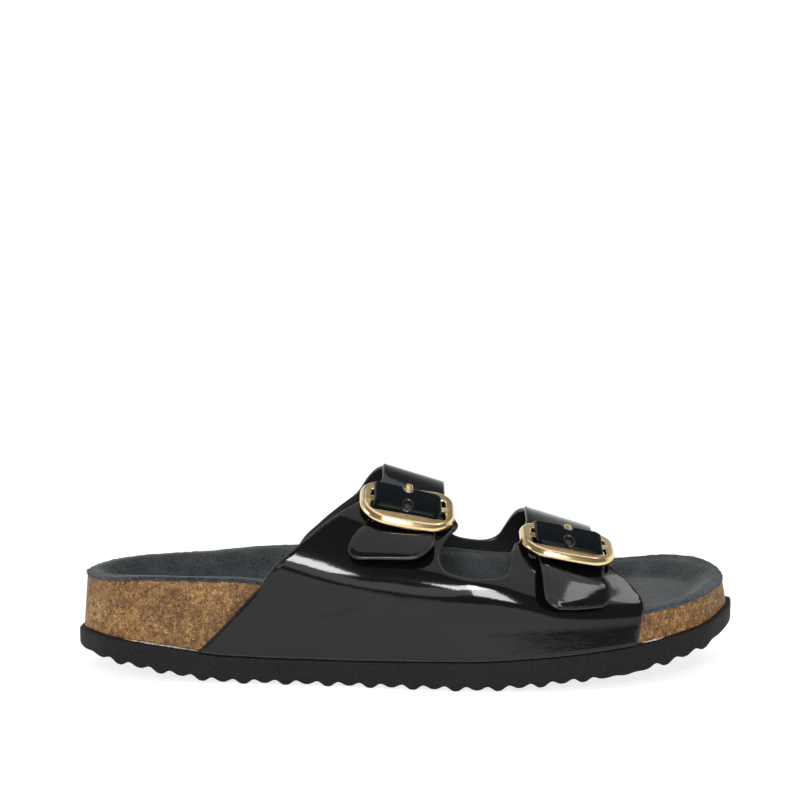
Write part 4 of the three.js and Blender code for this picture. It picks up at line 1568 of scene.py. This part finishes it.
    def add_strap(self, body: Body) -> None:
        """Add the strap end to a body.

        Args:
            body: The body that gets it.
        """
        sheet = Sheet(
            self.strap_loops(), self.strap_surface, self.strap_wall,
            spacing=0.7, edge_spacing=0.5, edge_reach=0.7, bevel=0.55, bevel_width=2.4,
            # The strap in the window gets the darker, duller patent as painted shade.
            painted_shade_span=(-self.window_depth / 2, self.window_depth / 2),
        )
        sheet.build(body)
        # A dark disc in the spare hole is painted shade for its dark inside.
        self.add_hole_shade(body)

    def add_hole_shade(self, body: Body) -> None:
        """Close the spare hole below the leather with a dark disc of lining, painted shade for the
        dark inside of the hole.

        Args:
            body: The body that gets it.
        """
        middle = np.array([0, self.spare_hole])
        rim = (self.hole_radius + self.plug_margin) * circle(self.hole_steps) + middle
        outer, normal = self.strap_surface(np.vstack([rim, middle]))
        face = outer - normal * self.plug_depth
        back = face - normal * self.plug_wall
        poles = [np.tile(disc[-1], (self.hole_steps, 1)) for disc in (face, back)]
        rings = np.array([poles[0], face[:-1], back[:-1], poles[1]])
        body.add_grid(rings, closed=True, mark=SheetFace.LINING.value)

    def rounded(self, half_x: float, low: float, high: float, radii: Pair) -> Array:
        """Points of a rounded rectangle: each corner and straight has a set count.

        Args:
            half_x: Half its length.
            low: Its lower end in Y.
            high: Its upper end in Y.
            radii: Radii of the lower and of the upper corners.

        Returns:
            The points.
        """
        a, b = radii
        corners = [
            (half_x - a, low + a, -90, a), (half_x - b, high - b, 0, b),
            (b - half_x, high - b, 90, b), (a - half_x, low + a, 180, a),
        ]
        arcs = []
        for x, y, start, radius in corners:
            turn = np.radians(start + np.linspace(0, 90, self.corner_points))
            arcs.append(np.stack([x + radius * np.cos(turn), y + radius * np.sin(turn)], axis=1))
        points = []
        for arc, following in zip(arcs, arcs[1:] + arcs[:1]):
            steps = np.linspace(0, 1, self.side_points + 2)[1:-1, None]
            points += [arc, lerp(arc[-1], following[0], steps)]
        return np.vstack(points)

    def build_frame(self) -> Piece:
        """Make the frame with its centre bar.

        Returns:
            The frame.
        """
        half = self.window_depth / 2
        thick = self.frame_thickness
        low, high = -half - self.upper_bar - self.upper_bar_rise, half + self.lower_bar

        def loop(outside: bool, inset: float, z: float) -> Array:
            """A line round the frame or round its window.

            Args:
                outside: Whether it runs round the frame.
                inset: How far it lies inside the metal.
                z: Height over the frame's underside.

            Returns:
                The points in the buckle's own frame.
            """
            if outside:
                radii, half_x, ends = self.frame_corners, self.frame_length / 2, (low, high)
                grow = -inset
            else:
                radii, half_x, ends = self.window_corners, self.window_length / 2, (-half, half)
                grow = inset
            corners = (radii[0] + grow, radii[1] + grow)
            line = self.rounded(half_x + grow, ends[0] - grow, ends[1] + grow, corners)
            end = (2 * line[:, 0] / self.frame_length) ** 2
            arch = self.frame_arch * (1 - end)
            if outside:
                bulge = (self.frame_bulge[0], -self.frame_bulge[1])
                line[:, 1] += end * np.interp(line[:, 1], (low, high), bulge)
            return np.column_stack([line, self.base + z + arch])

        section = (
            (True, 0.7, 0.0), (True, 0.25, 0.12), (True, 0.0, 0.5), (True, 0.0, 1.0),
            (True, 0.12, 1.5), (True, 0.45, 2.1), (True, 0.85, 2.6), (True, 1.05, 2.85),
            (True, 1.15, 2.98), (True, 1.4, thick - 0.1), (True, 1.9, thick), (True, 2.2, thick),
            (False, 0.8, thick), (False, 0.5, thick),
            (False, 0.2, thick - 0.08), (False, 0.06, thick - 0.25), (False, 0.0, thick - 0.5),
            (False, 0.0, 0.6), (False, 0.2, 0.15), (False, 0.5, 0.0), (True, 0.7, 0.0),
        )
        body = Body()
        rings = np.array([loop(*row) for row in section])
        body.add_grid(self.to_world(rings), closed=True)
        reach = self.window_length / 2 + self.bar_seat
        ends = ((-reach, 0), (-reach, 1), (0, 1), (reach, 1), (reach, 0))
        around = self.bar_radius * circle(self.bar_steps)
        bar = [np.column_stack([np.full(self.bar_steps, x), r * around]) for x, r in ends]
        body.add_grid(self.to_world(np.array(bar)), closed=True)
        return body.make(f"buckle_frame_{self.name}_gold")

    def build_prong(self) -> Piece:
        """Make the prong: a ring round the centre bar and a flat bar with a rounded tip.

        Returns:
            The prong.
        """
        hole = self.bar_radius + self.upper.last.gap
        ring = hole + self.prong_wall
        wide = self.prong_width / 2
        off = self.prong_round
        profile = (
            (-wide + off, hole), (-wide, hole + off), (-wide, ring - off), (-wide + off, ring),
            (wide - off, ring), (wide, ring - off), (wide, hole + off), (wide - off, hole),
            (-wide + off, hole),
        )
        around = circle(self.ring_steps)
        rings = [np.column_stack([np.full(self.ring_steps, x), r * around]) for x, r in profile]
        body = Body()
        body.add_grid(self.to_world(np.array(rings)), closed=True)
        middle = self.base + self.frame_thickness + self.upper.last.gap + self.prong_thickness / 2
        tip = -self.window_depth / 2 - self.upper_bar
        path = (
            (-0.55 * ring, ring - self.prong_thickness / 2, 0.7),
            (-1.0 * ring, min(ring - 0.5, middle), 0.95), (-1.6 * ring, middle, 1.0),
            (tip + 3.0, middle, 1.0), (tip + 1.6, middle, 1.12), (tip + 0.6, middle, 1.12),
            (tip - 0.1, middle, 0.9), (tip - 0.45, middle, 0.5), (tip - 0.55, middle, 0.0),
        )
        c, s = circle(self.hole_steps).T
        x = wide * np.sign(c) * np.abs(c) ** self.prong_square
        z = self.prong_thickness / 2 * np.sign(s) * np.abs(s) ** self.prong_square
        rings = [np.zeros((self.hole_steps, 3)) + [0, *path[0][:2]]]
        for y, height, share in path:
            rings.append(np.column_stack([x * share, np.full_like(x, y), height + z * share]))
        body.add_grid(self.to_world(np.array(rings)), closed=True)
        return body.make(f"buckle_prong_{self.name}_gold")


Operand = Union["Value", float]


@dataclass(frozen=True)
class Value:
    """A node socket that takes part in sums and products."""

    net: "Net"
    socket: bpy.types.NodeSocket | None

    def math(self, operation: str, *others: Operand, clamp: bool = False) -> "Value":
        """Apply an operation of a math node.

        Args:
            operation: The operation.
            others: Its other inputs.
            clamp: Whether the result is kept between 0 and 1.

        Returns:
            The result.
        """
        sockets = {k: other for k, other in enumerate((self, *others))}
        settings = {"operation": operation, "use_clamp": clamp}
        return self.net.node("ShaderNodeMath", settings, sockets)

    def reflected(self, operation: str, other: Operand) -> "Value":
        """Apply an operation with this value as its second input."""
        return self.net.node("ShaderNodeMath", {"operation": operation}, {0: other, 1: self})

    def __add__(self, other: Operand) -> "Value":
        """This value plus another."""
        return self.math("ADD", other)

    def __radd__(self, other: Operand) -> "Value":
        """Another plus this value."""
        return self.reflected("ADD", other)

    def __sub__(self, other: Operand) -> "Value":
        """This value less another."""
        return self.math("SUBTRACT", other)

    def __rsub__(self, other: Operand) -> "Value":
        """Another less this value."""
        return self.reflected("SUBTRACT", other)

    def __mul__(self, other: Operand) -> "Value":
        """This value times another."""
        return self.math("MULTIPLY", other)

    def __rmul__(self, other: Operand) -> "Value":
        """Another times this value."""
        return self.reflected("MULTIPLY", other)

    def __truediv__(self, other: Operand) -> "Value":
        """This value over another."""
        return self.math("DIVIDE", other)

    def __rtruediv__(self, other: Operand) -> "Value":
        """Another over this value."""
        return self.reflected("DIVIDE", other)

    def __neg__(self) -> "Value":
        """This value with its sign turned."""
        return self.math("MULTIPLY", -1.0)

    def above(self, edge: Operand, soft: float) -> "Value":
        """0 below an edge and 1 above it, with a soft step."""
        return ((self - edge) / soft + 0.5).math("ADD", 0.0, clamp=True)


@dataclass(frozen=True)
class Net:
    """A node tree under construction."""

    tree: bpy.types.NodeTree

    def node(
        self,
        kind: str,
        settings: dict[str, object] | None = None,
        sockets: dict[str | int, object] | None = None,
        output: str | int = 0,
    ) -> Value:
        """Add a node.

        Args:
            kind: The type of the node.
            settings: Values of its own properties, or the stops of a ramp.
            sockets: Values or links of its inputs, by name or place.
            output: The output to return.

        Returns:
            The chosen output.
        """
        made = self.tree.nodes.new(kind)
        for key, setting in (settings or {}).items():
            if key == "stops":
                self.set_stops(made.color_ramp, setting)
            else:
                setattr(made, key, setting)
        for key, value in (sockets or {}).items():
            if isinstance(value, Value):
                self.tree.links.new(value.socket, made.inputs[key])
            else:
                socket = made.inputs[key]
                is_colour = socket.type == "RGBA" and len(value) == 3
                socket.default_value = (*value, 1.0) if is_colour else value
        return Value(self, made.outputs[output] if len(made.outputs) else None)

    @staticmethod
    def set_stops(ramp: bpy.types.ColorRamp, stops: Stops) -> None:
        """Give a ramp its stops.

        Args:
            ramp: The ramp.
            stops: The place and colour of each stop.
        """
        while len(ramp.elements) < len(stops):
            ramp.elements.new(0.5)
        for element, (place, colour) in zip(ramp.elements, stops):
            element.position = place
            element.color = (*colour, 1.0)

    def ramp(self, value: Value, stops: Stops) -> Value:
        """Turn a value into a colour by a row of stops."""
        return self.node("ShaderNodeValToRGB", {"stops": stops}, {0: value})

    def object_place(self, scale: Triple = (1, 1, 1), turn: float = 0.0) -> Value:
        """Object coordinates.

        Args:
            scale: How often they repeat along each axis.
            turn: Their turn round Z, in degrees.

        Returns:
            The coordinates.
        """
        place = self.node("ShaderNodeTexCoord", {}, {}, "Object")
        sockets = {"Vector": place, "Scale": scale, "Rotation": (0.0, 0.0, math.radians(turn))}
        return self.node("ShaderNodeMapping", {}, sockets)

    def noise(self, place: Value, scale: float, detail: float = 2.0, rough: float = 0.5) -> Value:
        """Noise with its scale in waves per metre."""
        sockets = {"Vector": place, "Scale": scale, "Detail": detail, "Roughness": rough}
        return self.node("ShaderNodeTexNoise", {}, sockets)

    def mix(self, share: Operand, a: object, b: object) -> Value:
        """Mix two colours."""
        sockets = {"Factor": share, 6: a, 7: b}
        return self.node("ShaderNodeMix", {"data_type": "RGBA"}, sockets, 2)

    def bump(self, height: Value, distance: float) -> Value:
        """A normal from a height, whose full step is a distance in metres."""
        return self.node("ShaderNodeBump", {}, {"Height": height, "Distance": distance})


def from_srgb(red: int, green: int, blue: int) -> Colour:
    """A linear colour from 8-bit sRGB.

    Args:
        red: Level of red.
        green: Level of green.
        blue: Level of blue.

    Returns:
        The colour.
    """

    def linear(level: int) -> float:
        """One channel, made linear."""
        value = level / 255
        return value / 12.92 if value <= 0.04045 else ((value + 0.055) / 1.055) ** 2.4

    return (linear(red), linear(green), linear(blue))


def srgb_stops(shades: Shades) -> Stops:
    """Stops of a ramp from places and 8-bit sRGB colours."""
    return [(place, from_srgb(*shade)) for place, shade in shades]


@dataclass(frozen=True)
class Material:
    """A finish: its name and how its shader's inputs are made."""

    name: str

    def inputs(self, net: Net) -> dict[str, object]:
        """Inputs of the shader.

        Args:
            net: The node tree.

        Returns:
            Values or links.
        """
        raise NotImplementedError

    def make(self) -> Paint:
        """Make the Blender material.

        Returns:
            The material.
        """
        material = bpy.data.materials.new(self.name)
        material.use_nodes = True
        tree = material.node_tree
        tree.nodes.clear()
        net = Net(tree)
        shader = net.node("ShaderNodeBsdfPrincipled", {}, self.inputs(net))
        net.node("ShaderNodeOutputMaterial", {}, {"Surface": shader})
        return material


@dataclass(frozen=True)
class Patent(Material):
    """Black patent leather with a faint peel, drag marks and specks of dust.

    Scales of the finishes are in waves per metre and their relief is in metres.
    """

    name: str = "patent_leather"
    colour: Colour = (0.0035, 0.0035, 0.004)
    speck_colour: Colour = (0.5, 0.5, 0.5)
    peel_scale: float = 160.0
    fine_peel_scale: float = 900.0
    drag_scale: float = 700.0
    drag_stretch: float = 0.22
    speck_scale: float = 240.0
    speck_size: float = 0.045
    haze_scale: float = 60.0
    relief: float = 0.00003

    def inputs(self, net: Net) -> dict[str, object]:
        """Inputs of the shader.

        Args:
            net: The node tree.

        Returns:
            Values or links.
        """
        place = net.object_place()
        peel = net.noise(place, self.peel_scale, 1.0)
        peel = peel + 0.25 * net.noise(place, self.fine_peel_scale, 2.0)
        drag = net.noise(net.object_place((self.drag_stretch, 1, 1)), self.drag_scale, 3.0, 0.6)
        sockets = {"Vector": place, "Scale": self.speck_scale}
        speck = 1.0 - net.node("ShaderNodeTexVoronoi", {}, sockets).above(self.speck_size, 0.02)
        return {
            "Base Color": net.mix(0.05 * speck, self.colour, self.speck_colour),
            "Roughness": 0.05 + 0.05 * net.noise(place, self.haze_scale, 3.0),
            "Specular IOR Level": 0.34,
            "Normal": net.bump(peel + 0.3 * drag + 0.15 * speck, self.relief),
        }


@dataclass(frozen=True)
class PatentPaintedShade(Material):
    """Patent leather darkened and dulled as painted shade where the strap bends over the centre bar
    in the buckle's window.
    """

    name: str = "patent_leather_painted_shade"
    colour: Colour = (0.003, 0.005, 0.006)
    shaded_grain_colour: Colour = (0.01, 0.014, 0.017)
    grain_scale: float = 500.0
    relief: float = 0.00003

    def inputs(self, net: Net) -> dict[str, object]:
        """Inputs of the shader.

        Args:
            net: The node tree.

        Returns:
            Values or links.
        """
        grain = net.noise(net.object_place(), self.grain_scale, 3.0)
        return {
            # Painted shade: a darker, duller copy of the patent, mottled by grain.
            "Base Color": net.mix(0.3 * grain, self.colour, self.shaded_grain_colour),
            "Roughness": 0.28 + 0.1 * grain,
            "Specular IOR Level": 0.03,
            "Normal": net.bump(grain, self.relief),
        }


@dataclass(frozen=True)
class LeatherBack(Material):
    """The dark lining of the upper."""

    name: str = "leather_lining"
    shades: Stops = ((0.3, (0.006, 0.006, 0.007)), (0.75, (0.016, 0.016, 0.018)))
    grain_scale: float = 1400.0
    relief: float = 0.00012

    def inputs(self, net: Net) -> dict[str, object]:
        """Inputs of the shader.

        Args:
            net: The node tree.

        Returns:
            Values or links.
        """
        grain = net.noise(net.object_place(), self.grain_scale, 4.0, 0.6)
        return {
            "Base Color": net.ramp(grain, self.shades),
            "Roughness": 0.62,
            "Specular IOR Level": 0.4,
            "Normal": net.bump(grain, self.relief),
        }


@dataclass(frozen=True)
class LeatherEdge(Material):
    """The painted cut edge of the leather."""

    name: str = "leather_edge"
    shades: Stops = ((0.4, (0.006, 0.006, 0.007)), (0.75, (0.026, 0.026, 0.028)))
    colour_scale: float = 900.0
    gloss_scale: float = 500.0
    bump_scale: float = 700.0
    relief: float = 0.00008

    def inputs(self, net: Net) -> dict[str, object]:
        """Inputs of the shader.

        Args:
            net: The node tree.

        Returns:
            Values or links.
        """
        place = net.object_place()
        return {
            "Base Color": net.ramp(net.noise(place, self.colour_scale, 3.0), self.shades),
            "Roughness": 0.2 + 0.2 * net.noise(place, self.gloss_scale, 2.0),
            "Specular IOR Level": 0.4,
            "Normal": net.bump(net.noise(place, self.bump_scale, 2.0), self.relief),
        }


@dataclass(frozen=True)
class Cork(Material):
    """Pressed cork: short strokes that lie every way, in patches, with dark gaps between.

    Each layer holds its patches in a metre, its waves in a metre across a stroke, and the
    length of a stroke over its width.
    """

    name: str = "cork"
    layers: tuple[Triple, ...] = ((720.0, 1250.0, 4.5), (500.0, 860.0, 3.5))
    shades: Shades = (
        (0.32, (42, 24, 10)), (0.43, (100, 66, 28)), (0.54, (150, 108, 54)),
        (0.7, (216, 180, 122)),
    )
    pore_colour: Srgb = (38, 22, 12)
    warp_scale: float = 0.9
    warp: float = 0.6
    patch_contrast: float = 0.16
    fine_scale: float = 3200.0
    cloud_scale: float = 60.0
    pore_scale: float = 800.0
    pore_edge: Pair = (0.66, 0.05)
    darkening: float = 0.2
    relief: float = 0.00025

    def strokes(self, net: Net, place: Value, patch: float, scale: float, stretch: float) -> Value:
        """Noise stretched along a way that changes from patch to patch.

        Args:
            net: The node tree.
            place: The place in the object.
            patch: Patches in a metre.
            scale: Waves in a metre across a stroke.
            stretch: Length of a stroke over its width.

        Returns:
            The noise.
        """
        sockets = {"Vector": place, "Scale": self.warp_scale * patch}
        warp = net.node("ShaderNodeTexNoise", {}, sockets, 1)
        reach = self.warp / patch
        bent = net.node(
            "ShaderNodeVectorMath", {"operation": "MULTIPLY_ADD"},
            {0: warp, 1: (reach, reach, reach), 2: place},
        )
        colour = net.node("ShaderNodeTexVoronoi", {}, {"Vector": bent, "Scale": patch}, "Color")
        way = net.node("ShaderNodeSeparateColor", {}, {0: colour})
        laid = net.node(
            "ShaderNodeVectorRotate", {"rotation_type": "Y_AXIS"},
            {"Vector": place, "Angle": 2 * math.pi * way},
        )
        drawn = net.node("ShaderNodeMapping", {}, {"Vector": laid, "Scale": (1.0, 1.0, stretch)})
        return net.noise(drawn, scale / 2, 3.0, 0.6) + self.patch_contrast * (way - 0.5)

    def inputs(self, net: Net) -> dict[str, object]:
        """Inputs of the shader.

        Args:
            net: The node tree.

        Returns:
            Values or links.
        """
        place = net.object_place()
        small, large = (self.strokes(net, place, *layer) for layer in self.layers)
        fine = net.noise(place, self.fine_scale, 3.0, 0.65)
        cloud = net.noise(place, self.cloud_scale, 2.0)
        pores = net.noise(place, self.pore_scale, 4.0, 0.6).above(*self.pore_edge)
        level = 0.55 * small + 0.35 * large + 0.3 * fine + 0.16 * cloud - self.darkening
        pressed = net.ramp(level, srgb_stops(self.shades))
        return {
            "Base Color": net.mix(0.7 * pores, pressed, from_srgb(*self.pore_colour)),
            "Roughness": 0.6,
            "Specular IOR Level": 0.4,
            "Normal": net.bump(0.6 * fine + small - 0.8 * pores, self.relief),
        }


@dataclass(frozen=True)
class Suede(Material):
    """Brushed suede."""

    name: str = "suede"
    dark: Srgb = (24, 29, 31)
    light: Srgb = (74, 81, 83)
    places: Pair = (0.38, 0.72)
    nap_scale: float = 1300.0
    brush_scale: float = 90.0
    brush_stretch: float = 1.6
    brush_turn: float = 20.0
    darkening: float = 0.12
    relief: float = 0.00035

    def inputs(self, net: Net) -> dict[str, object]:
        """Inputs of the shader.

        Args:
            net: The node tree.

        Returns:
            Values or links.
        """
        nap = net.noise(net.object_place(), self.nap_scale, 4.0, 0.75)
        brushed = net.object_place((1, self.brush_stretch, 1), self.brush_turn)
        cloud = net.noise(brushed, self.brush_scale, 4.0, 0.6)
        level = 0.85 * nap + 0.45 * cloud - self.darkening
        return {
            "Base Color": net.ramp(level, srgb_stops([*zip(self.places, (self.dark, self.light))])),
            "Roughness": 0.95,
            "Specular IOR Level": 0.15,
            "Sheen Weight": 0.25,
            "Sheen Roughness": 0.5,
            "Normal": net.bump(nap, self.relief),
        }


CUT_SUEDE = Suede("suede_edge", dark=(10, 12, 18), light=(78, 88, 100))
LOOSE_FIBRES = Suede("suede_fibre", dark=(34, 44, 54), light=(140, 152, 160))


@dataclass(frozen=True)
class Glue(Material):
    """Dried glue."""

    name: str = "dried_glue"
    shades: Shades = (
        (0.35, (136, 124, 108)), (0.65, (222, 215, 205)),
    )
    grain_scale: float = 900.0
    relief: float = 0.0001

    def inputs(self, net: Net) -> dict[str, object]:
        """Inputs of the shader.

        Args:
            net: The node tree.

        Returns:
            Values or links.
        """
        grain = net.noise(net.object_place(), self.grain_scale, 3.0)
        return {
            "Base Color": net.ramp(grain, srgb_stops(self.shades)),
            "Roughness": 0.45,
            "Normal": net.bump(grain, self.relief),
        }


@dataclass(frozen=True)
class Foam(Material):
    """Black foam of the outsole, with scuffs that run along it."""

    name: str = "outsole_foam"
    shades: Stops = ((0.33, (0.002, 0.002, 0.0024)), (0.7, (0.017, 0.017, 0.018)))
    grain_scale: float = 1500.0
    scuff_scale: float = 120.0
    scuff_stretch: Triple = (0.5, 1, 2)
    relief: float = 0.0004

    def inputs(self, net: Net) -> dict[str, object]:
        """Inputs of the shader.

        Args:
            net: The node tree.

        Returns:
            Values or links.
        """
        grain = net.noise(net.object_place(), self.grain_scale, 3.0, 0.6)
        scuff = net.noise(net.object_place(self.scuff_stretch), self.scuff_scale, 4.0, 0.7)
        return {
            "Base Color": net.ramp(0.7 * grain + 0.3 * scuff, self.shades),
            "Roughness": 0.55 + 0.2 * scuff,
            "Specular IOR Level": 0.16,
            "Normal": net.bump(grain, self.relief),
        }


@dataclass(frozen=True)
class Gold(Material):
    """Polished gold-coloured metal."""

    name: str = "gold_metal"
    colour: Colour = (0.83, 0.62, 0.33)
    haze_scale: float = 200.0
    wave_scale: float = 400.0
    relief: float = 0.00002

    def inputs(self, net: Net) -> dict[str, object]:
        """Inputs of the shader.

        Args:
            net: The node tree.

        Returns:
            Values or links.
        """
        place = net.object_place()
        return {
            "Base Color": self.colour,
            "Metallic": 1.0,
            "Roughness": 0.12 + 0.1 * net.noise(place, self.haze_scale, 3.0),
            "Normal": net.bump(net.noise(place, self.wave_scale, 2.0), self.relief),
        }


@dataclass(frozen=True)
class PaleFloor(Material):
    """The pale floor, which gives off a little light of its own."""

    name: str = "pale_floor"

    def inputs(self, net: Net) -> dict[str, object]:
        """Inputs of the shader.

        Args:
            net: The node tree.

        Returns:
            Values or links.
        """
        return {
            "Base Color": (0.4, 0.4, 0.4),
            "Roughness": 0.9,
            "Specular IOR Level": 0.1,
            "Emission Color": (1.0, 1.0, 1.0),
            "Emission Strength": 0.8,
        }


@dataclass(frozen=True)
class Softbox:
    """A soft panel of light: its direction in degrees, distance and size in metres.

    mirrored says whether the pieces reflect it, and lighting whether it lights them.
    """

    name: str
    azimuth: float
    height: float
    distance: float
    size: Pair
    light: float
    roll: float = 0.0
    mirrored: bool = True
    lighting: bool = True


@dataclass
class Studio:
    """Floor, light and camera."""

    floor_size: float = 60.0
    elevation: float = 12.0
    distance: float = 0.9
    target: Triple = (0.0, 0.0, 0.025)
    pixels_per_mm: float = 2.4952
    image: int = 800
    target_pixel: Pair = (406.4, 602.5)
    sensor: float = 36.0
    surround: float = 0.2
    backdrop: float = 1.05
    backdrop_edge: Pair = (0.15, 0.3)
    backdrop_fade: Pair = (0.42, 0.5)
    overhead_angle: float = 76.0
    overhead_light: float = 0.95
    softboxes: tuple[Softbox, ...] = (
        Softbox("strip", -4.9, 27.4, 1.3, (0.466, 0.15), 27.0, 38.0),
        Softbox("strip_glow", -8.0, 17.0, 1.32, (0.8, 0.2), 1.7, 38.0),
        Softbox("back_right", 90.0, 54.0, 1.3, (0.5, 0.18), 4.5),
        Softbox("strip_front", 3.5, 24.0, 1.31, (0.3, 0.5), 22.0, lighting=False),
        Softbox("left", -92.0, 14.0, 1.2, (0.5, 0.4), 3.0),
        Softbox("left_fill", -80.0, 14.0, 1.2, (0.5, 0.4), 1.3, mirrored=False),
        Softbox("right_fill", 78.0, 14.0, 1.2, (0.5, 0.4), 2.2, mirrored=False),
    )

    def floor(self) -> None:
        """Make the pale floor."""
        half = self.floor_size / 2 / MM
        corners = [(-half, -half, 0), (half, -half, 0), (half, half, 0), (-half, half, 0)]
        body = Body()
        body.add_points(np.array(corners))
        body.add_faces(np.arange(4)[None])
        floor = body.make("floor")
        floor.data.materials.append(PaleFloor().make())

    def camera(self) -> None:
        """Place the camera at the angle of the photograph."""
        data = bpy.data.cameras.new("camera")
        data.sensor_width = self.sensor
        scale = self.pixels_per_mm / MM
        data.lens = self.sensor * self.distance * scale / self.image
        data.shift_x = (self.image / 2 - self.target_pixel[0]) / self.image
        data.shift_y = (self.target_pixel[1] - self.image / 2) / self.image
        tilt = math.radians(self.elevation)
        out = Vector((0, -math.cos(tilt), math.sin(tilt)))
        camera = link("camera", data)
        camera.location = Vector(self.target) + out * self.distance
        camera.rotation_euler = out.to_track_quat("Z", "Y").to_euler()
        bpy.context.scene.camera = camera

    def panel(self, softbox: Softbox) -> None:
        """Add a softbox that faces the shoe.

        Args:
            softbox: The softbox.
        """
        data = bpy.data.lights.new(softbox.name, "AREA")
        data.shape = "RECTANGLE"
        data.size, data.size_y = softbox.size
        data.energy = softbox.light * math.pi * data.size * data.size_y
        lamp = link(softbox.name, data)
        lamp.visible_glossy = softbox.mirrored
        lamp.visible_diffuse = softbox.lighting
        azimuth, height = math.radians(softbox.azimuth), math.radians(softbox.height)
        level = math.cos(height)
        out = Vector((math.sin(azimuth) * level, -math.cos(azimuth) * level, math.sin(height)))
        lamp.location = Vector(self.target) + out * softbox.distance
        turn = Matrix.Rotation(math.radians(softbox.roll), 4, "Z")
        lamp.rotation_euler = (out.to_track_quat("Z", "Y").to_matrix().to_4x4() @ turn).to_euler()

    def world(self) -> None:
        """A white backdrop behind the shoe and grey around it."""
        world = bpy.data.worlds.new("studio")
        bpy.context.scene.world = world
        world.use_nodes = True
        world.node_tree.nodes.clear()
        net = Net(world.node_tree)
        place = net.node("ShaderNodeTexCoord", {}, {}, "Generated")
        depth = net.node("ShaderNodeSeparateXYZ", {}, {0: place}, 1)
        height = net.node("ShaderNodeSeparateXYZ", {}, {0: place}, 2)
        below = 1.0 - height.above(*self.backdrop_fade)
        white = depth.above(*self.backdrop_edge) * below
        light = net.mix(white, (self.surround,) * 3, (self.backdrop,) * 3)
        shade = net.node("ShaderNodeBackground", {}, {0: light, 1: 1.0})
        net.node("ShaderNodeOutputWorld", {}, {"Surface": shade})

    def overhead(self) -> None:
        """A wide soft light straight over the shoe, as a distant disc."""
        data = bpy.data.lights.new("overhead", "SUN")
        data.angle = math.radians(self.overhead_angle)
        data.energy = self.overhead_light * math.pi * math.sin(data.angle / 2) ** 2
        link("overhead", data)

    def build(self) -> None:
        """Set up the studio."""
        self.floor()
        self.camera()
        self.world()
        self.overhead()
        for softbox in self.softboxes:
            self.panel(softbox)
        bpy.context.scene.view_settings.view_transform = "Standard"


def main() -> None:
    """Build the sandal and its studio."""
    logging.basicConfig(level=logging.INFO, format="%(message)s")
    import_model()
    last = Last.from_frame()
    hand_over(Outsole(last).build(), Finish.FOAM, [Foam().make()], "outsole")
    footbed = Footbed(last)
    hand_over(footbed.build_cork(), Finish.CORK, [Cork().make()], "cork_footbed")
    suede = [Suede().make(), CUT_SUEDE.make()]
    hand_over(footbed.build_insole(), Finish.SUEDE, suede, "insole")
    hand_over(EdgeFibres(footbed).build(LOOSE_FIBRES.make()), Finish.SUEDE, [])
    hand_over(GlueBead(last).build(), Finish.CORK, [Glue().make()])

    upper = Upper(last)
    buckles = [
        Buckle(
            "rear", upper, along=0.503, lean=-0.36, tail=0.90, turn=0, stand=0,
            tail_skew=0.12, tail_flare=4.5,
        ),
        Buckle(
            "front", upper, along=0.7395, lean=0.15, tail=0.975, turn=4, stand=0.85,
            tail_skew=0.5, tail_flare=2.6,
        ),
    ]
    body = Body()
    upper.add_to(body)
    for buckle in buckles:
        buckle.add_strap(body)
    # The last finish is the darker, duller patent, painted as shade in the buckle windows.
    leather = [Patent().make(), LeatherBack().make(), LeatherEdge().make(), PatentPaintedShade().make()]
    hand_over(body.make("leather_upper"), Finish.PATENT, leather, "upper")
    gold = [Gold().make()]
    for buckle in buckles:
        hand_over(buckle.build_frame(), Finish.GOLD, gold, f"buckle_frame_{buckle.name}")
        hand_over(buckle.build_prong(), Finish.GOLD, gold, f"buckle_prong_{buckle.name}")
    Studio().build()


if __name__ == "__main__":
    main()
